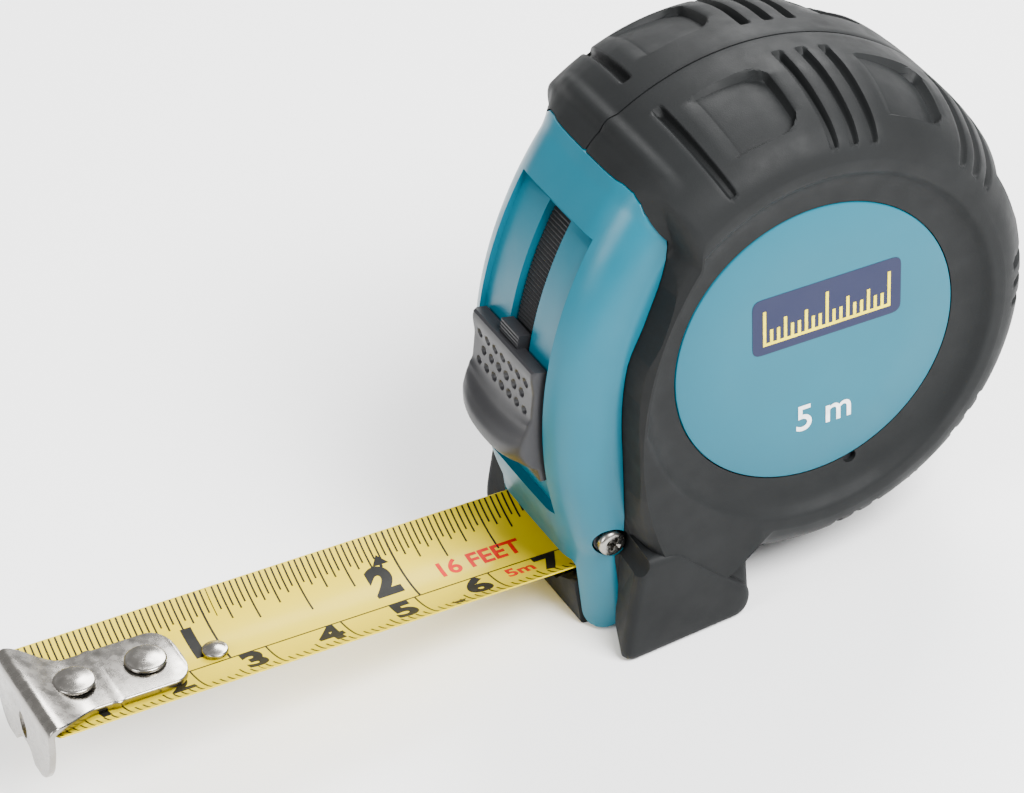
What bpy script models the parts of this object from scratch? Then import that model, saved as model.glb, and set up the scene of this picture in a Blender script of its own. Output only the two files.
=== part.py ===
"""Pocket tape measure, 5 m by 19 mm, with its blade pulled out and locked.

Lengths are in millimetres and are turned into metres as each mesh is made.
+X is the way the blade pulls out, +Y is the side of the left label, +Z is up.
The origin is on the flat base, under the axis of the reel.
"""
import math

import bmesh
import bpy
from mathutils import Matrix, Vector

MM = 0.001
GAP = 0.3                     # clearance between pieces that touch

# Case outline, seen from the side
AXIS_Z = 34.9                 # height of the reel axis
RIM_RADIUS = 32.8             # round back and top of the case
FRONT_CENTRE = (-17.3, 25.0)  # centre of the long curve of the front
FRONT_RADIUS = 51.0
FRONT_X = 32.0                # straight front below the curve
FRONT_JOIN_Z = 12.0
HEEL = (-11.0, -16.0, 6.0)    # rear end of the flat base: x at the floor, x and z where it meets the rim
BLEND_TOP = (59.0, 50.0)      # degrees over which the rim gives way to the front

# Case section, from the mid plane out to the side
CASE_SIDE = 19.0
RIM_PROFILE = [(0, 0), (4, 0.05), (7, 0.25), (10, 0.8), (12.3, 1.5), (13.7, 2.0), (14.3, 2.3),
               (16.3, 3.4), (18.0, 5.0), (19.0, 7.2)]
FRONT_PROFILE = [(0, 0), (7, 0.05), (10, 0.8), (12.3, 2.4), (13.7, 4.9), (14.3, 7.0), (16.3, 7.4),
                 (18.0, 7.9), (19.0, 8.6)]
BASE_PROFILE = [(0, 0), (8, 0), (13, 4.2), (16, 8.0), (19, 13.0)]
CREST_RADIUS = 24.4           # raised ring round the label
LABEL_RADIUS = 19.0
LABEL_FACE = 17.4
LABEL_THICK = 0.8

GRIP_THICK = 2.0
PARTING_SHIFT = 0.4           # the grips meet this far to the right of the mid plane
SHELL_OFFSET = GRIP_THICK + 0.5
SHELL_SHY = 0.6               # extra set-back behind the front cover
SHELL_WALL = 1.8
SHELL_SIDE = LABEL_FACE - LABEL_THICK - GAP
SHELL_INSIDE = 13.6
REEL_SPACE_SIDES = 38

# Edge between the grips and the front cover, seen from the side
COVER_EDGE = [(17.2, 61.2), (16.0, 56.0), (17.0, 51.9), (20.3, 45.1), (23.4, 39.4), (24.9, 32.0),
              (25.4, 25.9), (25.9, 19.9), (26.3, 15.2)]
COVER_THICK = 2.3
COVER_HALF = 14.3
TONGUE = (9.6, 13.3)          # inner and outer side of each tongue beside the mouth
MOUTH_TOP = 10.3

# Foot on each side
FOOT_OUTLINE = [(13.4, 0.0), (30.7, 0.0), (30.2, 3.0), (26.8, 14.4), (22.0, 14.0), (12.3, 3.1)]
FOOT_ROOT = [(10.5, 1.5), (28.6, 0.6), (28.4, 3.0), (26.6, 15.0), (21.0, 18.0), (9.5, 8.0)]
FOOT_SIDE = (12.6, 19.3)

# Grip grooves: centre angles in degrees round the reel axis
GROOVE_SETS = [105.0, 146.0, 186.0, 225.0, 263.0]
SINGLE_GROOVE = 70.5
BASE_GROOVES = 240.0          # sets past this angle are only on the shoulder
GROOVE_START = 3.6            # height off the mid plane where a groove starts
SHOULDER_START = 14.6
GROOVE_STEP = 5.6
GROOVE_WIDE = 1.3
GROOVE_DEEP = 0.9
PANEL_ANGLES = [86.0, 126.0, 166.0, 206.0]

# Blade
BLADE_WIDTH = 19.0
BLADE_THICK = 0.2
BLADE_RISE = 2.8              # height of the edges above the middle
BLADE_TILT = math.radians(5.7)
MOUTH_POINT = (32.0, 6.3)     # middle of the blade where it leaves the case
BLADE_OUT = 68.0              # length outside the case
BLADE_END = 27.0              # stiff end that carries the hook
BLADE_TRAVEL = 63.0

# Reel
COIL_RADIUS = 25.6
HUB_RADIUS = 16.0
FLANGE_RADIUS = 22.5

# Lock
TRACK_RADIUS = 49.8
LOCK_TOP = 15.6               # degrees round the front centre
LOCK_BOTTOM = -2.4
LOCK_HALF = 8.0
SLOT_HALF = 2.7
SLOT_RANGE = (-1.0, 35.8)
TRACK_RANGE = (-8.0, 36.6)
TRACK_HALF = 8.8
SPINE_TOP = 49.0


# ---------------------------------------------------------------- helpers

def clear_scene():
    """Remove whatever the file starts with."""
    for old in list(bpy.data.objects):
        bpy.data.objects.remove(old, do_unlink=True)


def material(name, colour, metallic=0.0, roughness=0.5):
    """Plain Principled material."""
    mat = bpy.data.materials.new(name)
    mat.use_nodes = True
    shader = mat.node_tree.nodes["Principled BSDF"]
    shader.inputs["Base Color"].default_value = (*colour, 1.0)
    shader.inputs["Metallic"].default_value = metallic
    shader.inputs["Roughness"].default_value = roughness
    return mat


def solid(name, verts, faces, mat=None, smooth=None):
    """Object from millimetre corners, with its faces turned outward."""
    mesh = bpy.data.meshes.new(name)
    mesh.from_pydata([Vector(v) * MM for v in verts], [], faces)
    work = bmesh.new()
    work.from_mesh(mesh)
    bmesh.ops.remove_doubles(work, verts=work.verts, dist=1e-7)
    warped = [face for face in work.faces if 3 < len(face.verts) < 5 and bent(face)]
    bmesh.ops.triangulate(work, faces=warped, quad_method="FIXED")
    bmesh.ops.recalc_face_normals(work, faces=work.faces)
    if work.calc_volume(signed=True) < 0:
        bmesh.ops.reverse_faces(work, faces=work.faces)
    work.to_mesh(mesh)
    work.free()
    obj = bpy.data.objects.new(name, mesh)
    bpy.context.scene.collection.objects.link(obj)
    if mat:
        mesh.materials.append(mat)
    if smooth:
        shade(obj, smooth)
    return obj


def bent(face):
    """True for a four-sided face that isn't flat."""
    a, b, c, d = (v.co for v in face.verts)
    normal = (b - a).cross(c - a)
    return abs(normal.normalized().dot(d - a)) > 1e-8


def shade(obj, angle=35.0):
    """Smooth shading, with edges sharper than the angle kept crisp."""
    obj.data.shade_smooth()
    obj.data.set_sharp_from_angle(angle=math.radians(angle))


def loft(name, rings, mat=None, smooth=None, closed=False):
    """Skin over equal rings. Its ends are capped unless the rings close on themselves."""
    count = len(rings[0])
    verts = [point for ring in rings for point in ring]
    faces = []
    last = len(rings) if closed else len(rings) - 1
    for r in range(last):
        a = r * count
        b = ((r + 1) % len(rings)) * count
        for i in range(count):
            j = (i + 1) % count
            faces.append((a + i, a + j, b + j, b + i))
    if not closed:
        faces.append(tuple(range(count)))
        faces.append(tuple(range((len(rings) - 1) * count, len(rings) * count)))
    return solid(name, verts, faces, mat, smooth)


def prism_y(name, outline, y0, y1, mat=None, smooth=None):
    """Outline in X and Z, run from y0 to y1."""
    rings = [[(x, y, z) for x, z in outline] for y in (y0, y1)]
    return loft(name, rings, mat, smooth)


def prism_x(name, outline, x0, x1, mat=None):
    """Outline in Y and Z, run from x0 to x1."""
    rings = [[(x, y, z) for y, z in outline] for x in (x0, x1)]
    return loft(name, rings, mat)


def box(name, low, high, mat=None):
    """Box between two corners."""
    outline = [(low[0], low[2]), (high[0], low[2]), (high[0], high[2]), (low[0], high[2])]
    return prism_y(name, outline, low[1], high[1], mat)


def lathe_y(name, profile, centre=(0.0, AXIS_Z), sides=48, mat=None, smooth=35.0):
    """Profile of (radius, y) turned round an axis along Y. A radius of zero closes an end."""
    verts = []
    rows = []
    for radius, y in profile:
        if radius == 0:
            rows.append([len(verts)])
            verts.append((centre[0], y, centre[1]))
            continue
        rows.append(list(range(len(verts), len(verts) + sides)))
        for i in range(sides):
            angle = 2 * math.pi * i / sides
            verts.append((centre[0] + radius * math.cos(angle), y, centre[1] + radius * math.sin(angle)))
    faces = []
    pairs = list(zip(rows, rows[1:]))
    if profile[0][0] != 0 and profile[-1][0] != 0:
        pairs.append((rows[-1], rows[0]))
    for a, b in pairs:
        for i in range(sides):
            j = (i + 1) % sides
            quad = [a[i % len(a)], a[j % len(a)], b[j % len(b)], b[i % len(b)]]
            face = list(dict.fromkeys(quad))
            if len(face) > 2:
                faces.append(tuple(face))
    return solid(name, verts, faces, mat, smooth)


def rod_y(name, centre, radius, y0, y1, sides=24):
    """Plain round bar along Y."""
    return lathe_y(name, [(0, y0), (radius, y0), (radius, y1), (0, y1)], centre, sides)


def combine(target, tool, operation):
    """Exact boolean, after which the tool is gone."""
    tool.hide_render = True
    tool.display_type = "WIRE"
    step = target.modifiers.new(operation, "BOOLEAN")
    step.operation = operation
    step.solver = "EXACT"
    step.object = tool
    depsgraph = bpy.context.evaluated_depsgraph_get()
    result = bpy.data.meshes.new_from_object(target.evaluated_get(depsgraph))
    target.modifiers.clear()
    target.data = result
    bpy.data.objects.remove(tool, do_unlink=True)
    return target


def cut(target, tool):
    return combine(target, tool, "DIFFERENCE")


def join(target, tool):
    return combine(target, tool, "UNION")


def keep(target, tool):
    return combine(target, tool, "INTERSECT")


def tidy(obj, mat, angle=35.0):
    """Give the piece its one material, and shade it."""
    obj.data.materials.clear()
    obj.data.materials.append(mat)
    for face in obj.data.polygons:
        face.material_index = 0
    shade(obj, angle)
    return obj


def set_origin(obj, point):
    """Put the object's origin on a joint axis without moving its surface."""
    point = Vector(point) * MM
    obj.data.transform(Matrix.Translation(-point))
    obj.location = point


def table(profile, y):
    """Value at y, read along straight lines between the profile's points."""
    for (y0, v0), (y1, v1) in zip(profile, profile[1:]):
        if y <= y1:
            return v0 + (v1 - v0) * (y - y0) / (y1 - y0)
    return profile[-1][1]


def ease(value, low, high):
    """0 below low, 1 above high, and a smooth step between them."""
    t = min(1.0, max(0.0, (value - low) / (high - low)))
    return t * t * (3 - 2 * t)


# ------------------------------------------------------------- case shape

def front_reach(angle, inset):
    """Distance from the reel axis to the front of the case, along an angle."""
    ux, uz = math.cos(angle), math.sin(angle)
    dx, dz = -FRONT_CENTRE[0], AXIS_Z - FRONT_CENTRE[1]
    along = dx * ux + dz * uz
    radius = FRONT_RADIUS - inset
    reach = -along + math.sqrt(max(0.0, along ** 2 - dx ** 2 - dz ** 2 + radius ** 2))
    if AXIS_Z + reach * uz < FRONT_JOIN_Z and ux > 0:
        reach = (FRONT_X - inset) / ux
    return reach


def case_reach(degrees, y, inset, shy=0.0):
    """Distance from the reel axis to the skin of the case at an angle and a height off the mid plane."""
    angle = math.radians(degrees)
    ux, uz = math.cos(angle), math.sin(angle)
    rim = RIM_RADIUS - table(RIM_PROFILE, y) - inset
    if degrees >= BLEND_TOP[0] or degrees <= -150:
        return rim
    front = front_reach(angle, table(FRONT_PROFILE, y) + inset + shy) if ux > 0 else 1e3
    if degrees > BLEND_TOP[1]:
        share = ease(degrees, BLEND_TOP[1], BLEND_TOP[0])
        return front + (rim - front) * share
    narrow = ease(-degrees, 58, 76)
    floor = table(BASE_PROFILE, y) * narrow + max(0.0, y - 14) * 1.2 * (1 - narrow) + inset
    base = (AXIS_Z - floor) / -uz if uz < 0 else 1e3
    block = min(front, base)
    if degrees > -50:
        return block
    nx, nz = -HEEL[2], HEEL[1] - HEEL[0]
    length = math.hypot(nx, nz)
    toward = (nx * ux + nz * uz) / length
    if toward > 0:
        heel = ((nx * HEEL[0] - nz * AXIS_Z) / length - inset - table(RIM_PROFILE, y)) / toward
        block = min(block, heel)
    return max(rim, block)


def case_angles():
    """Angles of the corners of each ring, closer together where the outline turns."""
    angles = []
    a = -180.0
    while a < 179.9:
        angles.append(a)
        if -58 <= a < -38:
            a += 2.5
        elif 48 <= a < 60:
            a += 3.0
        elif -118 <= a < -58:
            a += 5.0
        else:
            a += 8.0
    return angles


ANGLES = case_angles()


def case_ring(y, inset, stretch=1.0, shy=0.0):
    """One ring of the case skin.

    The stretch maps a narrower piece onto the full section, and shy sets the front back further.
    """
    ring = []
    for degrees in ANGLES:
        reach = case_reach(degrees, abs(y) * stretch, inset, shy)
        angle = math.radians(degrees)
        ring.append((reach * math.cos(angle), y, AXIS_Z + reach * math.sin(angle)))
    return ring


def round_ring(radius, y):
    """Round ring with the corner count of the case, held inside the front."""
    ring = []
    for degrees in ANGLES:
        angle = math.radians(degrees)
        reach = min(radius, case_reach(degrees, CASE_SIDE, 0.5))
        ring.append((reach * math.cos(angle), y, AXIS_Z + reach * math.sin(angle)))
    return ring


def arc_points(radius, low, high, steps=16):
    """Points on a circle round the front centre."""
    points = []
    for i in range(steps + 1):
        angle = math.radians(low + (high - low) * i / steps)
        points.append((FRONT_CENTRE[0] + radius * math.cos(angle), FRONT_CENTRE[1] + radius * math.sin(angle)))
    return points


def arc_block(name, inner, outer, low, high, half, steps=16, mat=None, smooth=None):
    """Curved bar round the front centre, as wide as twice the half width."""
    outline = arc_points(outer, low, high, steps) + arc_points(inner, high, low, steps)
    return prism_y(name, outline, -half, half, mat, smooth)


OUTER_ROWS = [7, 10, 12.3, 14.3, 16.3, 18.0, 19.0]    # heights off the mid plane where the case is sectioned
INNER_ROWS = [7, 12.3, 14.3, 19.0]


def half_body(name, side, inset, shy=0.0, start=GAP / 2):
    """Left half of an inner surface of the case as a block, closed at its side."""
    stretch = CASE_SIDE / side
    rings = [case_ring(start, inset, 1.0, shy)]
    rings += [case_ring(y / stretch, inset, stretch, shy) for y in INNER_ROWS]
    return loft(name, rings)


def whole_body(name, side, inset, heights):
    """Both halves of the case as one block."""
    stretch = CASE_SIDE / side
    rows = [-y for y in reversed(heights)] + heights
    return loft(name, [case_ring(y / stretch, inset, stretch) for y in rows])


# ------------------------------------------------------------- case pieces

def screw_place():
    """Centre of the cover screw, seen from the side."""
    return (27.9, 14.3)


def groove_cutter(angle, y0, y1=18.6):
    """Bar that cuts one groove across the rim and over the shoulder."""
    rows = [y0] + [y for y in (10, 14.3, 16.3) if y > y0 + 1] + [y1]
    lower = []
    upper = []
    for y in rows:
        ramp = min(1.0, (y - y0) / 0.8 + 0.15)
        radius = RIM_RADIUS - table(RIM_PROFILE, y)
        lower.append((y, radius - GROOVE_DEEP * ramp))
        upper.append((y, radius + 3.0))
    outline = lower + upper[::-1]
    return radial_bar("groove", outline, angle, GROOVE_WIDE)


def radial_bar(name, outline, angle, width):
    """Outline in Y and radius, given a width round the reel axis at an angle."""
    turn = math.radians(angle)
    ux, uz = math.cos(turn), math.sin(turn)
    rings = []
    for offset in (-width / 2, width / 2):
        rings.append([(r * ux - offset * uz, y, AXIS_Z + r * uz + offset * ux) for y, r in outline])
    return loft(name, rings)


def panel_cutter(angle):
    """Shallow D-shaped recess between two sets of grooves."""
    wide = 8.2
    outline = []
    for y in (5.5, 10, 13, 15.6):
        outline.append((y, RIM_RADIUS - table(RIM_PROFILE, y) - 0.55))
    outline += [(15.6, RIM_RADIUS + 3.0), (5.5, RIM_RADIUS + 3.0)]
    return radial_bar("panel", outline, angle, wide)


def build_foot():
    """Foot beside the mouth, rooted inside the shoulder and rounded off at its side."""
    centre = (22.0, 6.0)
    crown = [(centre[0] + (x - centre[0]) * 0.9, centre[1] + (z - centre[1]) * 0.88) for x, z in FOOT_OUTLINE]
    stages = [(FOOT_ROOT, FOOT_SIDE[0]), (FOOT_OUTLINE, FOOT_SIDE[1] - 0.9), (crown, FOOT_SIDE[1])]
    return loft("foot", [[(x, y, z) for x, z in outline] for outline, y in stages])


def build_grip(name, side, mat):
    """Rubber half of the case: rim, shoulder, ring round the label, and foot."""
    inner = SHELL_SIDE + GAP
    start = -PARTING_SHIFT if side > 0 else PARTING_SHIFT + GAP
    rings = [case_ring(start, 0.0)] + [case_ring(y, 0.0) for y in OUTER_ROWS]
    rings.append(round_ring(CREST_RADIUS, CASE_SIDE - 0.05))
    rings.append(round_ring(LABEL_RADIUS + 2.2, CASE_SIDE - 0.9))
    rings.append(round_ring(LABEL_RADIUS + 0.8, LABEL_FACE + 0.3))
    grip = loft(name, rings)
    join(grip, build_foot())
    cut(grip, half_body("core", inner, GRIP_THICK, start=-2))
    cut(grip, rod_y("label_space", (0, AXIS_Z), LABEL_RADIUS + 0.4, 14, 25, 48))
    opening = COVER_EDGE + [(45, 15.2), (45, 80), (26, 75)]
    cut(grip, prism_y("cover_space", opening, -2, 25))
    cut(grip, box("tongue_space", (25.9, -2, -2), (45, TONGUE[1] + GAP, 15.3)))
    for x in (16.0, 19.5, 23.0):
        cut(grip, rod_y("tread", (x, -0.35), 0.9, 14.5, 22, 8))
    for centre_angle in GROOVE_SETS:
        for step in (-1, 0, 1):
            start = GROOVE_START if centre_angle < BASE_GROOVES else SHOULDER_START
            cut(grip, groove_cutter(centre_angle + step * GROOVE_STEP, start))
    cut(grip, groove_cutter(SINGLE_GROOVE, GROOVE_START))
    for angle in PANEL_ANGLES:
        cut(grip, panel_cutter(angle))
    x, z = screw_place()
    cut(grip, rod_y("screw_space", (x, z), 2.35, 5, 25, 20))
    if side < 0:
        mirror_y(grip)
    return tidy(grip, mat)


def mirror_y(obj):
    """Turn a left piece into a right piece."""
    obj.data.transform(Matrix.Diagonal((1, -1, 1, 1)))
    obj.data.flip_normals()


def build_shell(name, side, mat):
    """Hard half shell that carries the reel."""
    shell = half_body(name, SHELL_SIDE, SHELL_OFFSET, SHELL_SHY)
    cut(shell, half_body("inside", SHELL_INSIDE, SHELL_OFFSET + SHELL_WALL, SHELL_SHY, -2))
    x, z = screw_place()
    join(shell, rod_y("boss", (x, z), 1.9, 7.2, TONGUE[1] - 0.9, 20))
    wide, narrow = COIL_RADIUS + 0.6, FLANGE_RADIUS + 0.6
    reel = [(0, -1), (wide, -1), (wide, 9.9), (narrow, 9.9), (narrow, 11.3), (0, 11.3)]
    cut(shell, lathe_y("reel_space", reel, sides=REEL_SPACE_SIDES))
    cut(shell, arc_block("lock_window", 44.0, 56.0, -24.0, 52.5, 5.2))
    cut(shell, blade_channel())
    cut(shell, box("lip_space", (25.9, -1, -1), (40, 9.6, 9.0)))
    cut(shell, rod_y("pilot", (x, z), 1.2, 4.0, 20.0, 12))
    seat = SHELL_SIDE - 1.7
    cut(shell, lathe_y("centre_hole", [(0, 10), (1.5, 10), (1.5, seat), (3.3, seat), (3.3, 20), (0, 20)], sides=20))
    if side < 0:
        cut(shell, rod_y("clip_pilot", CLIP_SCREW, 1.3, 10.0, 20.0, 12))
        mirror_y(shell)
    return tidy(shell, mat)


def blade_channel():
    """Clear way for the blade through the front of the case."""
    outline = [(-6.5, 1.5), (6.5, 1.5), (6.5, 3.0), (9.7, 5.2), (9.7, 10.9), (-9.7, 10.9), (-9.7, 5.2), (-6.5, 3.0)]
    return prism_x("blade_way", outline, 3.0, 45.0)


def build_cover(mat):
    """Front cover with the sunken track and slot of the lock, and a tongue each side of the mouth."""
    cover = whole_body("front_cover", CASE_SIDE, 0.0, OUTER_ROWS)
    cut(cover, whole_body("back", SHELL_SIDE + GAP, COVER_THICK, INNER_ROWS))
    edge = [(x + GAP, z) for x, z in COVER_EDGE]
    edge[0] = (COVER_EDGE[0][0] + 0.15, COVER_EDGE[0][1] - 0.35)
    edge[-1] = (26.3 + GAP, 15.5)
    side_view = edge + [(26.3 + GAP, -1), (45, -1), (45, 78), (26.15, 74.65)]
    keep(cover, prism_y("side_view", side_view, -COVER_HALF, COVER_HALF))
    keep(cover, prism_x("front_view", cover_front_outline(), 5, 45))
    cut(cover, arc_block("track", TRACK_RADIUS, 60, *TRACK_RANGE, TRACK_HALF))
    cut(cover, arc_block("slot", 40, 60, *SLOT_RANGE, SLOT_HALF))
    cut(cover, arc_block("slide_space", 40, SPINE_TOP + 0.25, -16.0, 47.0, SLOT_HALF))
    for side in (-1, 1):
        ends = (5.5, 20) if side > 0 else (-20, -5.5)
        cut(cover, rod_y("notch", screw_place(), 2.3, *ends, 20))
    return tidy(cover, mat)


def cover_front_outline():
    """Front view of the cover: a shield with a round-ended tongue each side of the mouth."""
    half = [(0, 75), (14.3, 75), (14.3, 15.3), (TONGUE[1], 14.0), (TONGUE[1], 2.6), (12.9, 1.4), (12.1, 0.7),
            (11.4, 0.5), (10.7, 0.7), (9.9, 1.4), (TONGUE[0], 2.6), (TONGUE[0], MOUTH_TOP - 0.4),
            (9.2, MOUTH_TOP), (0, MOUTH_TOP)]
    other = [(-y, z) for y, z in reversed(half[1:-1])]
    return half[:-1] + other


def build_lip(mat):
    """Rubber lip under the mouth that takes the knock of the hook."""
    outline = [(26.2, 0), (31.3, 0), (31.8, 0.6), (31.8, 7.0), (30.0, 7.0), (30.0, GRIP_THICK), (26.2, GRIP_THICK)]
    lip = prism_y("mouth_bumper", outline, -9.3, 9.3)
    trough = [(-3.6, 3.5), (3.6, 3.5), (5.0, 4.9), (7.4, 6.1), (9.6, 7.6), (9.6, 12), (-9.6, 12), (-9.6, 7.6), (-7.4, 6.1), (-5.0, 4.9)]
    cut(lip, prism_x("trough", trough, 25, 40))
    return tidy(lip, mat)


def build_label(name, side, mat):
    """Thin disc in the ring of the grip. The right one has the hole of the belt clip's screw."""
    face = side * LABEL_FACE
    back = side * (LABEL_FACE - LABEL_THICK)
    profile = [(0, back), (LABEL_RADIUS, back), (LABEL_RADIUS, face - side * 0.15),
               (LABEL_RADIUS - 0.15, face), (0, face)]
    disc = lathe_y(name, profile, mat=mat)
    if side < 0:
        cut(disc, rod_y("clip_hole", CLIP_SCREW, 1.7, -20, -12, 20))
    return tidy(disc, mat)


def build_post(mat):
    """Fixed axle between the shells, slotted for the inner end of the spring."""
    end = SHELL_INSIDE - GAP
    profile = [(1.6, -end), (4.2, -end), (4.2, -11.3), (3.1, -11.3), (3.1, 11.3), (4.2, 11.3), (4.2, end), (1.6, end)]
    post = lathe_y("centre_post", profile, sides=24)
    return tidy(post, mat)


def build_screw(name, centre, head_y, shank, head_radius, shank_radius, side, mat):
    """Cross-recess screw along Y, head outward."""
    head = 1.3
    y = head_y
    profile = [(0, y - shank), (shank_radius, y - shank), (shank_radius, y - head), (head_radius, y - head),
               (head_radius, y - 0.35), (head_radius * 0.82, y), (0, y)]
    screw = lathe_y(name, [(r, side * v) for r, v in profile], centre, 18)
    x, z = centre
    reach = head_radius * 0.62
    for turn in (math.radians(35), math.radians(125)):
        ux, uz = math.cos(turn), math.sin(turn)
        corner = []
        for a, b in ((-1, -1), (1, -1), (1, 1), (-1, 1)):
            corner.append((x + a * reach * ux - b * 0.28 * uz, z + a * reach * uz + b * 0.28 * ux))
        ends = sorted((side * (y - 0.8), side * (y + 1)))
        cut(screw, prism_y("cross", corner, *ends))
    return tidy(screw, mat)


# ------------------------------------------------------------- belt clip

CLIP_SCREW = (0.0, 47.0)
CLIP_HALF = 7.0


def build_clip(mat):
    """Sprung steel clip on the right side: a foot on the label, and an arm down outside the grip."""
    path = [(17.7, 52.5), (17.7, 43.5), (18.6, 41.2), (20.1, 39.0), (20.6, 36.5), (20.4, 20.0), (19.9, 12.0),
            (20.6, 8.0), (22.0, 5.0)]
    thick = 0.9
    outline = [(-y, z) for y, z in path]
    outer = []
    for i, (y, z) in enumerate(path):
        before = path[max(0, i - 1)]
        after = path[min(len(path) - 1, i + 1)]
        ty, tz = after[0] - before[0], after[1] - before[1]
        length = math.hypot(ty, tz)
        outer.append((-(y - tz / length * thick), z + ty / length * thick))
    clip = prism_x("belt_clip", outline + outer[::-1], -CLIP_HALF, CLIP_HALF)
    cut(clip, rod_y("clip_hole", CLIP_SCREW, 1.7, -30, -10, 20))
    return tidy(clip, mat, 20)


# ------------------------------------------------------------- reel

def build_drum(mat):
    """Hub and left flange. The recoil spring winds inside the hub."""
    profile = [(3.6, 9.9), (14.6, 9.9), (14.6, -9.6), (HUB_RADIUS, -9.6), (HUB_RADIUS, 9.9), (FLANGE_RADIUS, 9.9),
               (FLANGE_RADIUS, 10.8), (3.6, 10.8)]
    return tidy(lathe_y("reel_drum", profile, sides=44), mat)


def build_drum_cover(mat):
    """Right flange, which closes the spring chamber."""
    profile = [(3.6, -9.9), (3.6, -10.8), (FLANGE_RADIUS, -10.8), (FLANGE_RADIUS, -9.9)]
    return tidy(lathe_y("drum_cover", profile, sides=44), mat)


def build_coil(mat):
    """Wound part of the blade."""
    half = BLADE_WIDTH / 2
    profile = [(HUB_RADIUS + GAP, -half), (COIL_RADIUS, -half), (COIL_RADIUS, half), (HUB_RADIUS + GAP, half)]
    return tidy(lathe_y("blade_coil", profile, sides=52), mat)


def build_spring(mat):
    """Flat spiral spring between the post and the hub."""
    turns = 5.5
    steps = int(turns * 18)
    start, end = 3.6, 13.8
    thick, half = 0.35, 8.6
    verts = []
    faces = []
    for i in range(steps + 1):
        share = i / steps
        angle = 2 * math.pi * turns * share
        radius = start + (end - start) * share
        for r, y in ((radius, -half), (radius + thick, -half), (radius + thick, half), (radius, half)):
            verts.append((r * math.cos(angle), y, AXIS_Z + r * math.sin(angle)))
    for i in range(steps):
        for k in range(4):
            m = (k + 1) % 4
            faces.append((4 * i + k, 4 * i + m, 4 * i + 4 + m, 4 * i + 4 + k))
    faces.append((0, 1, 2, 3))
    faces.append(tuple(4 * steps + k for k in range(4)))
    return solid("recoil_spring", verts, faces, mat, 35)


# ------------------------------------------------------------- blade

def blade_frame(s, y, lift):
    """Point on the blade: s back from its end, y across, lift above the middle line."""
    along = BLADE_OUT - s
    x = MOUTH_POINT[0] + along * math.cos(BLADE_TILT) - lift * math.sin(BLADE_TILT)
    z = MOUTH_POINT[1] + along * math.sin(BLADE_TILT) + lift * math.cos(BLADE_TILT)
    return (x, y, z)


def trough(width, rise, steps=10):
    """Points across a curved blade: (y, height, slope)."""
    half_turn = 1e-3
    for _ in range(40):
        value = width / 2 * (1 - math.cos(half_turn)) / half_turn - rise
        half_turn -= value / (width / 4)
    radius = width / 2 / half_turn
    points = []
    for i in range(steps + 1):
        turn = half_turn * (2 * i / steps - 1)
        points.append((radius * math.sin(turn), radius * (1 - math.cos(turn)), turn))
    return points


def strip_ring(s, width, rise, top, thick, lift=0.0, steps=10):
    """Closed section of a curved strip whose upper skin is at top above the blade's."""
    upper = []
    lower = []
    for y, height, turn in trough(width, max(0.01, rise), steps):
        ny, nz = -math.sin(turn), math.cos(turn)
        upper.append(blade_frame(s, y + ny * top, lift + height + nz * top))
        lower.append(blade_frame(s, y + ny * (top - thick), lift + height + nz * (top - thick)))
    return upper + lower[::-1]


def build_blade_end(mat):
    """Stiff end of the blade, drilled for the three rivets."""
    end = loft("blade_end", [strip_ring(s, BLADE_WIDTH, BLADE_RISE, 0.0, BLADE_THICK)
                             for s in (0.6, BLADE_END)])
    for s, radius in RIVETS:
        cut(end, blade_rod("hole", s, radius * 0.55 + GAP, -3, 3))
    return tidy(end, mat, 40)


def build_blade_run(mat):
    """Free length between the stiff end and the reel. It flattens as it nears the coil."""
    rings = []
    total = BLADE_OUT + MOUTH_POINT[0] / math.cos(BLADE_TILT)
    stations = [BLADE_END + 0.2, 40, 55, BLADE_OUT - 2, BLADE_OUT + 4, 76, 81, 86, 91, 96, total]
    for s in stations:
        inside = ease(s, BLADE_OUT + 2, total - 4)
        rise = BLADE_RISE * (1 - inside)
        ramp = ease(s, BLADE_OUT + 4, total)
        foot = MOUTH_POINT[1] - MOUTH_POINT[0] * math.tan(BLADE_TILT)
        lift = ramp * (AXIS_Z - COIL_RADIUS - 0.45 - foot)
        rings.append(strip_ring(s, BLADE_WIDTH, rise, 0.0, BLADE_THICK, lift))
    return loft("blade_run", rings, mat, 40)


def build_backing(mat):
    """Narrow stiffener riveted under the end of the blade."""
    strip = loft("blade_backing", [strip_ring(s, 9.0, 0.62, -BLADE_THICK - GAP, 0.25, steps=6)
                                   for s in (3.0, BLADE_END - 0.4)])
    for s, radius in RIVETS:
        cut(strip, blade_rod("hole", s, radius * 0.55 + GAP, -3, 3))
    return tidy(strip, mat, 40)


def blade_rod(name, s, radius, low, high, sides=16):
    """Round bar square to the blade."""
    return blade_lathe(name, s, [(0, low), (radius, low), (radius, high), (0, high)], sides)


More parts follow.
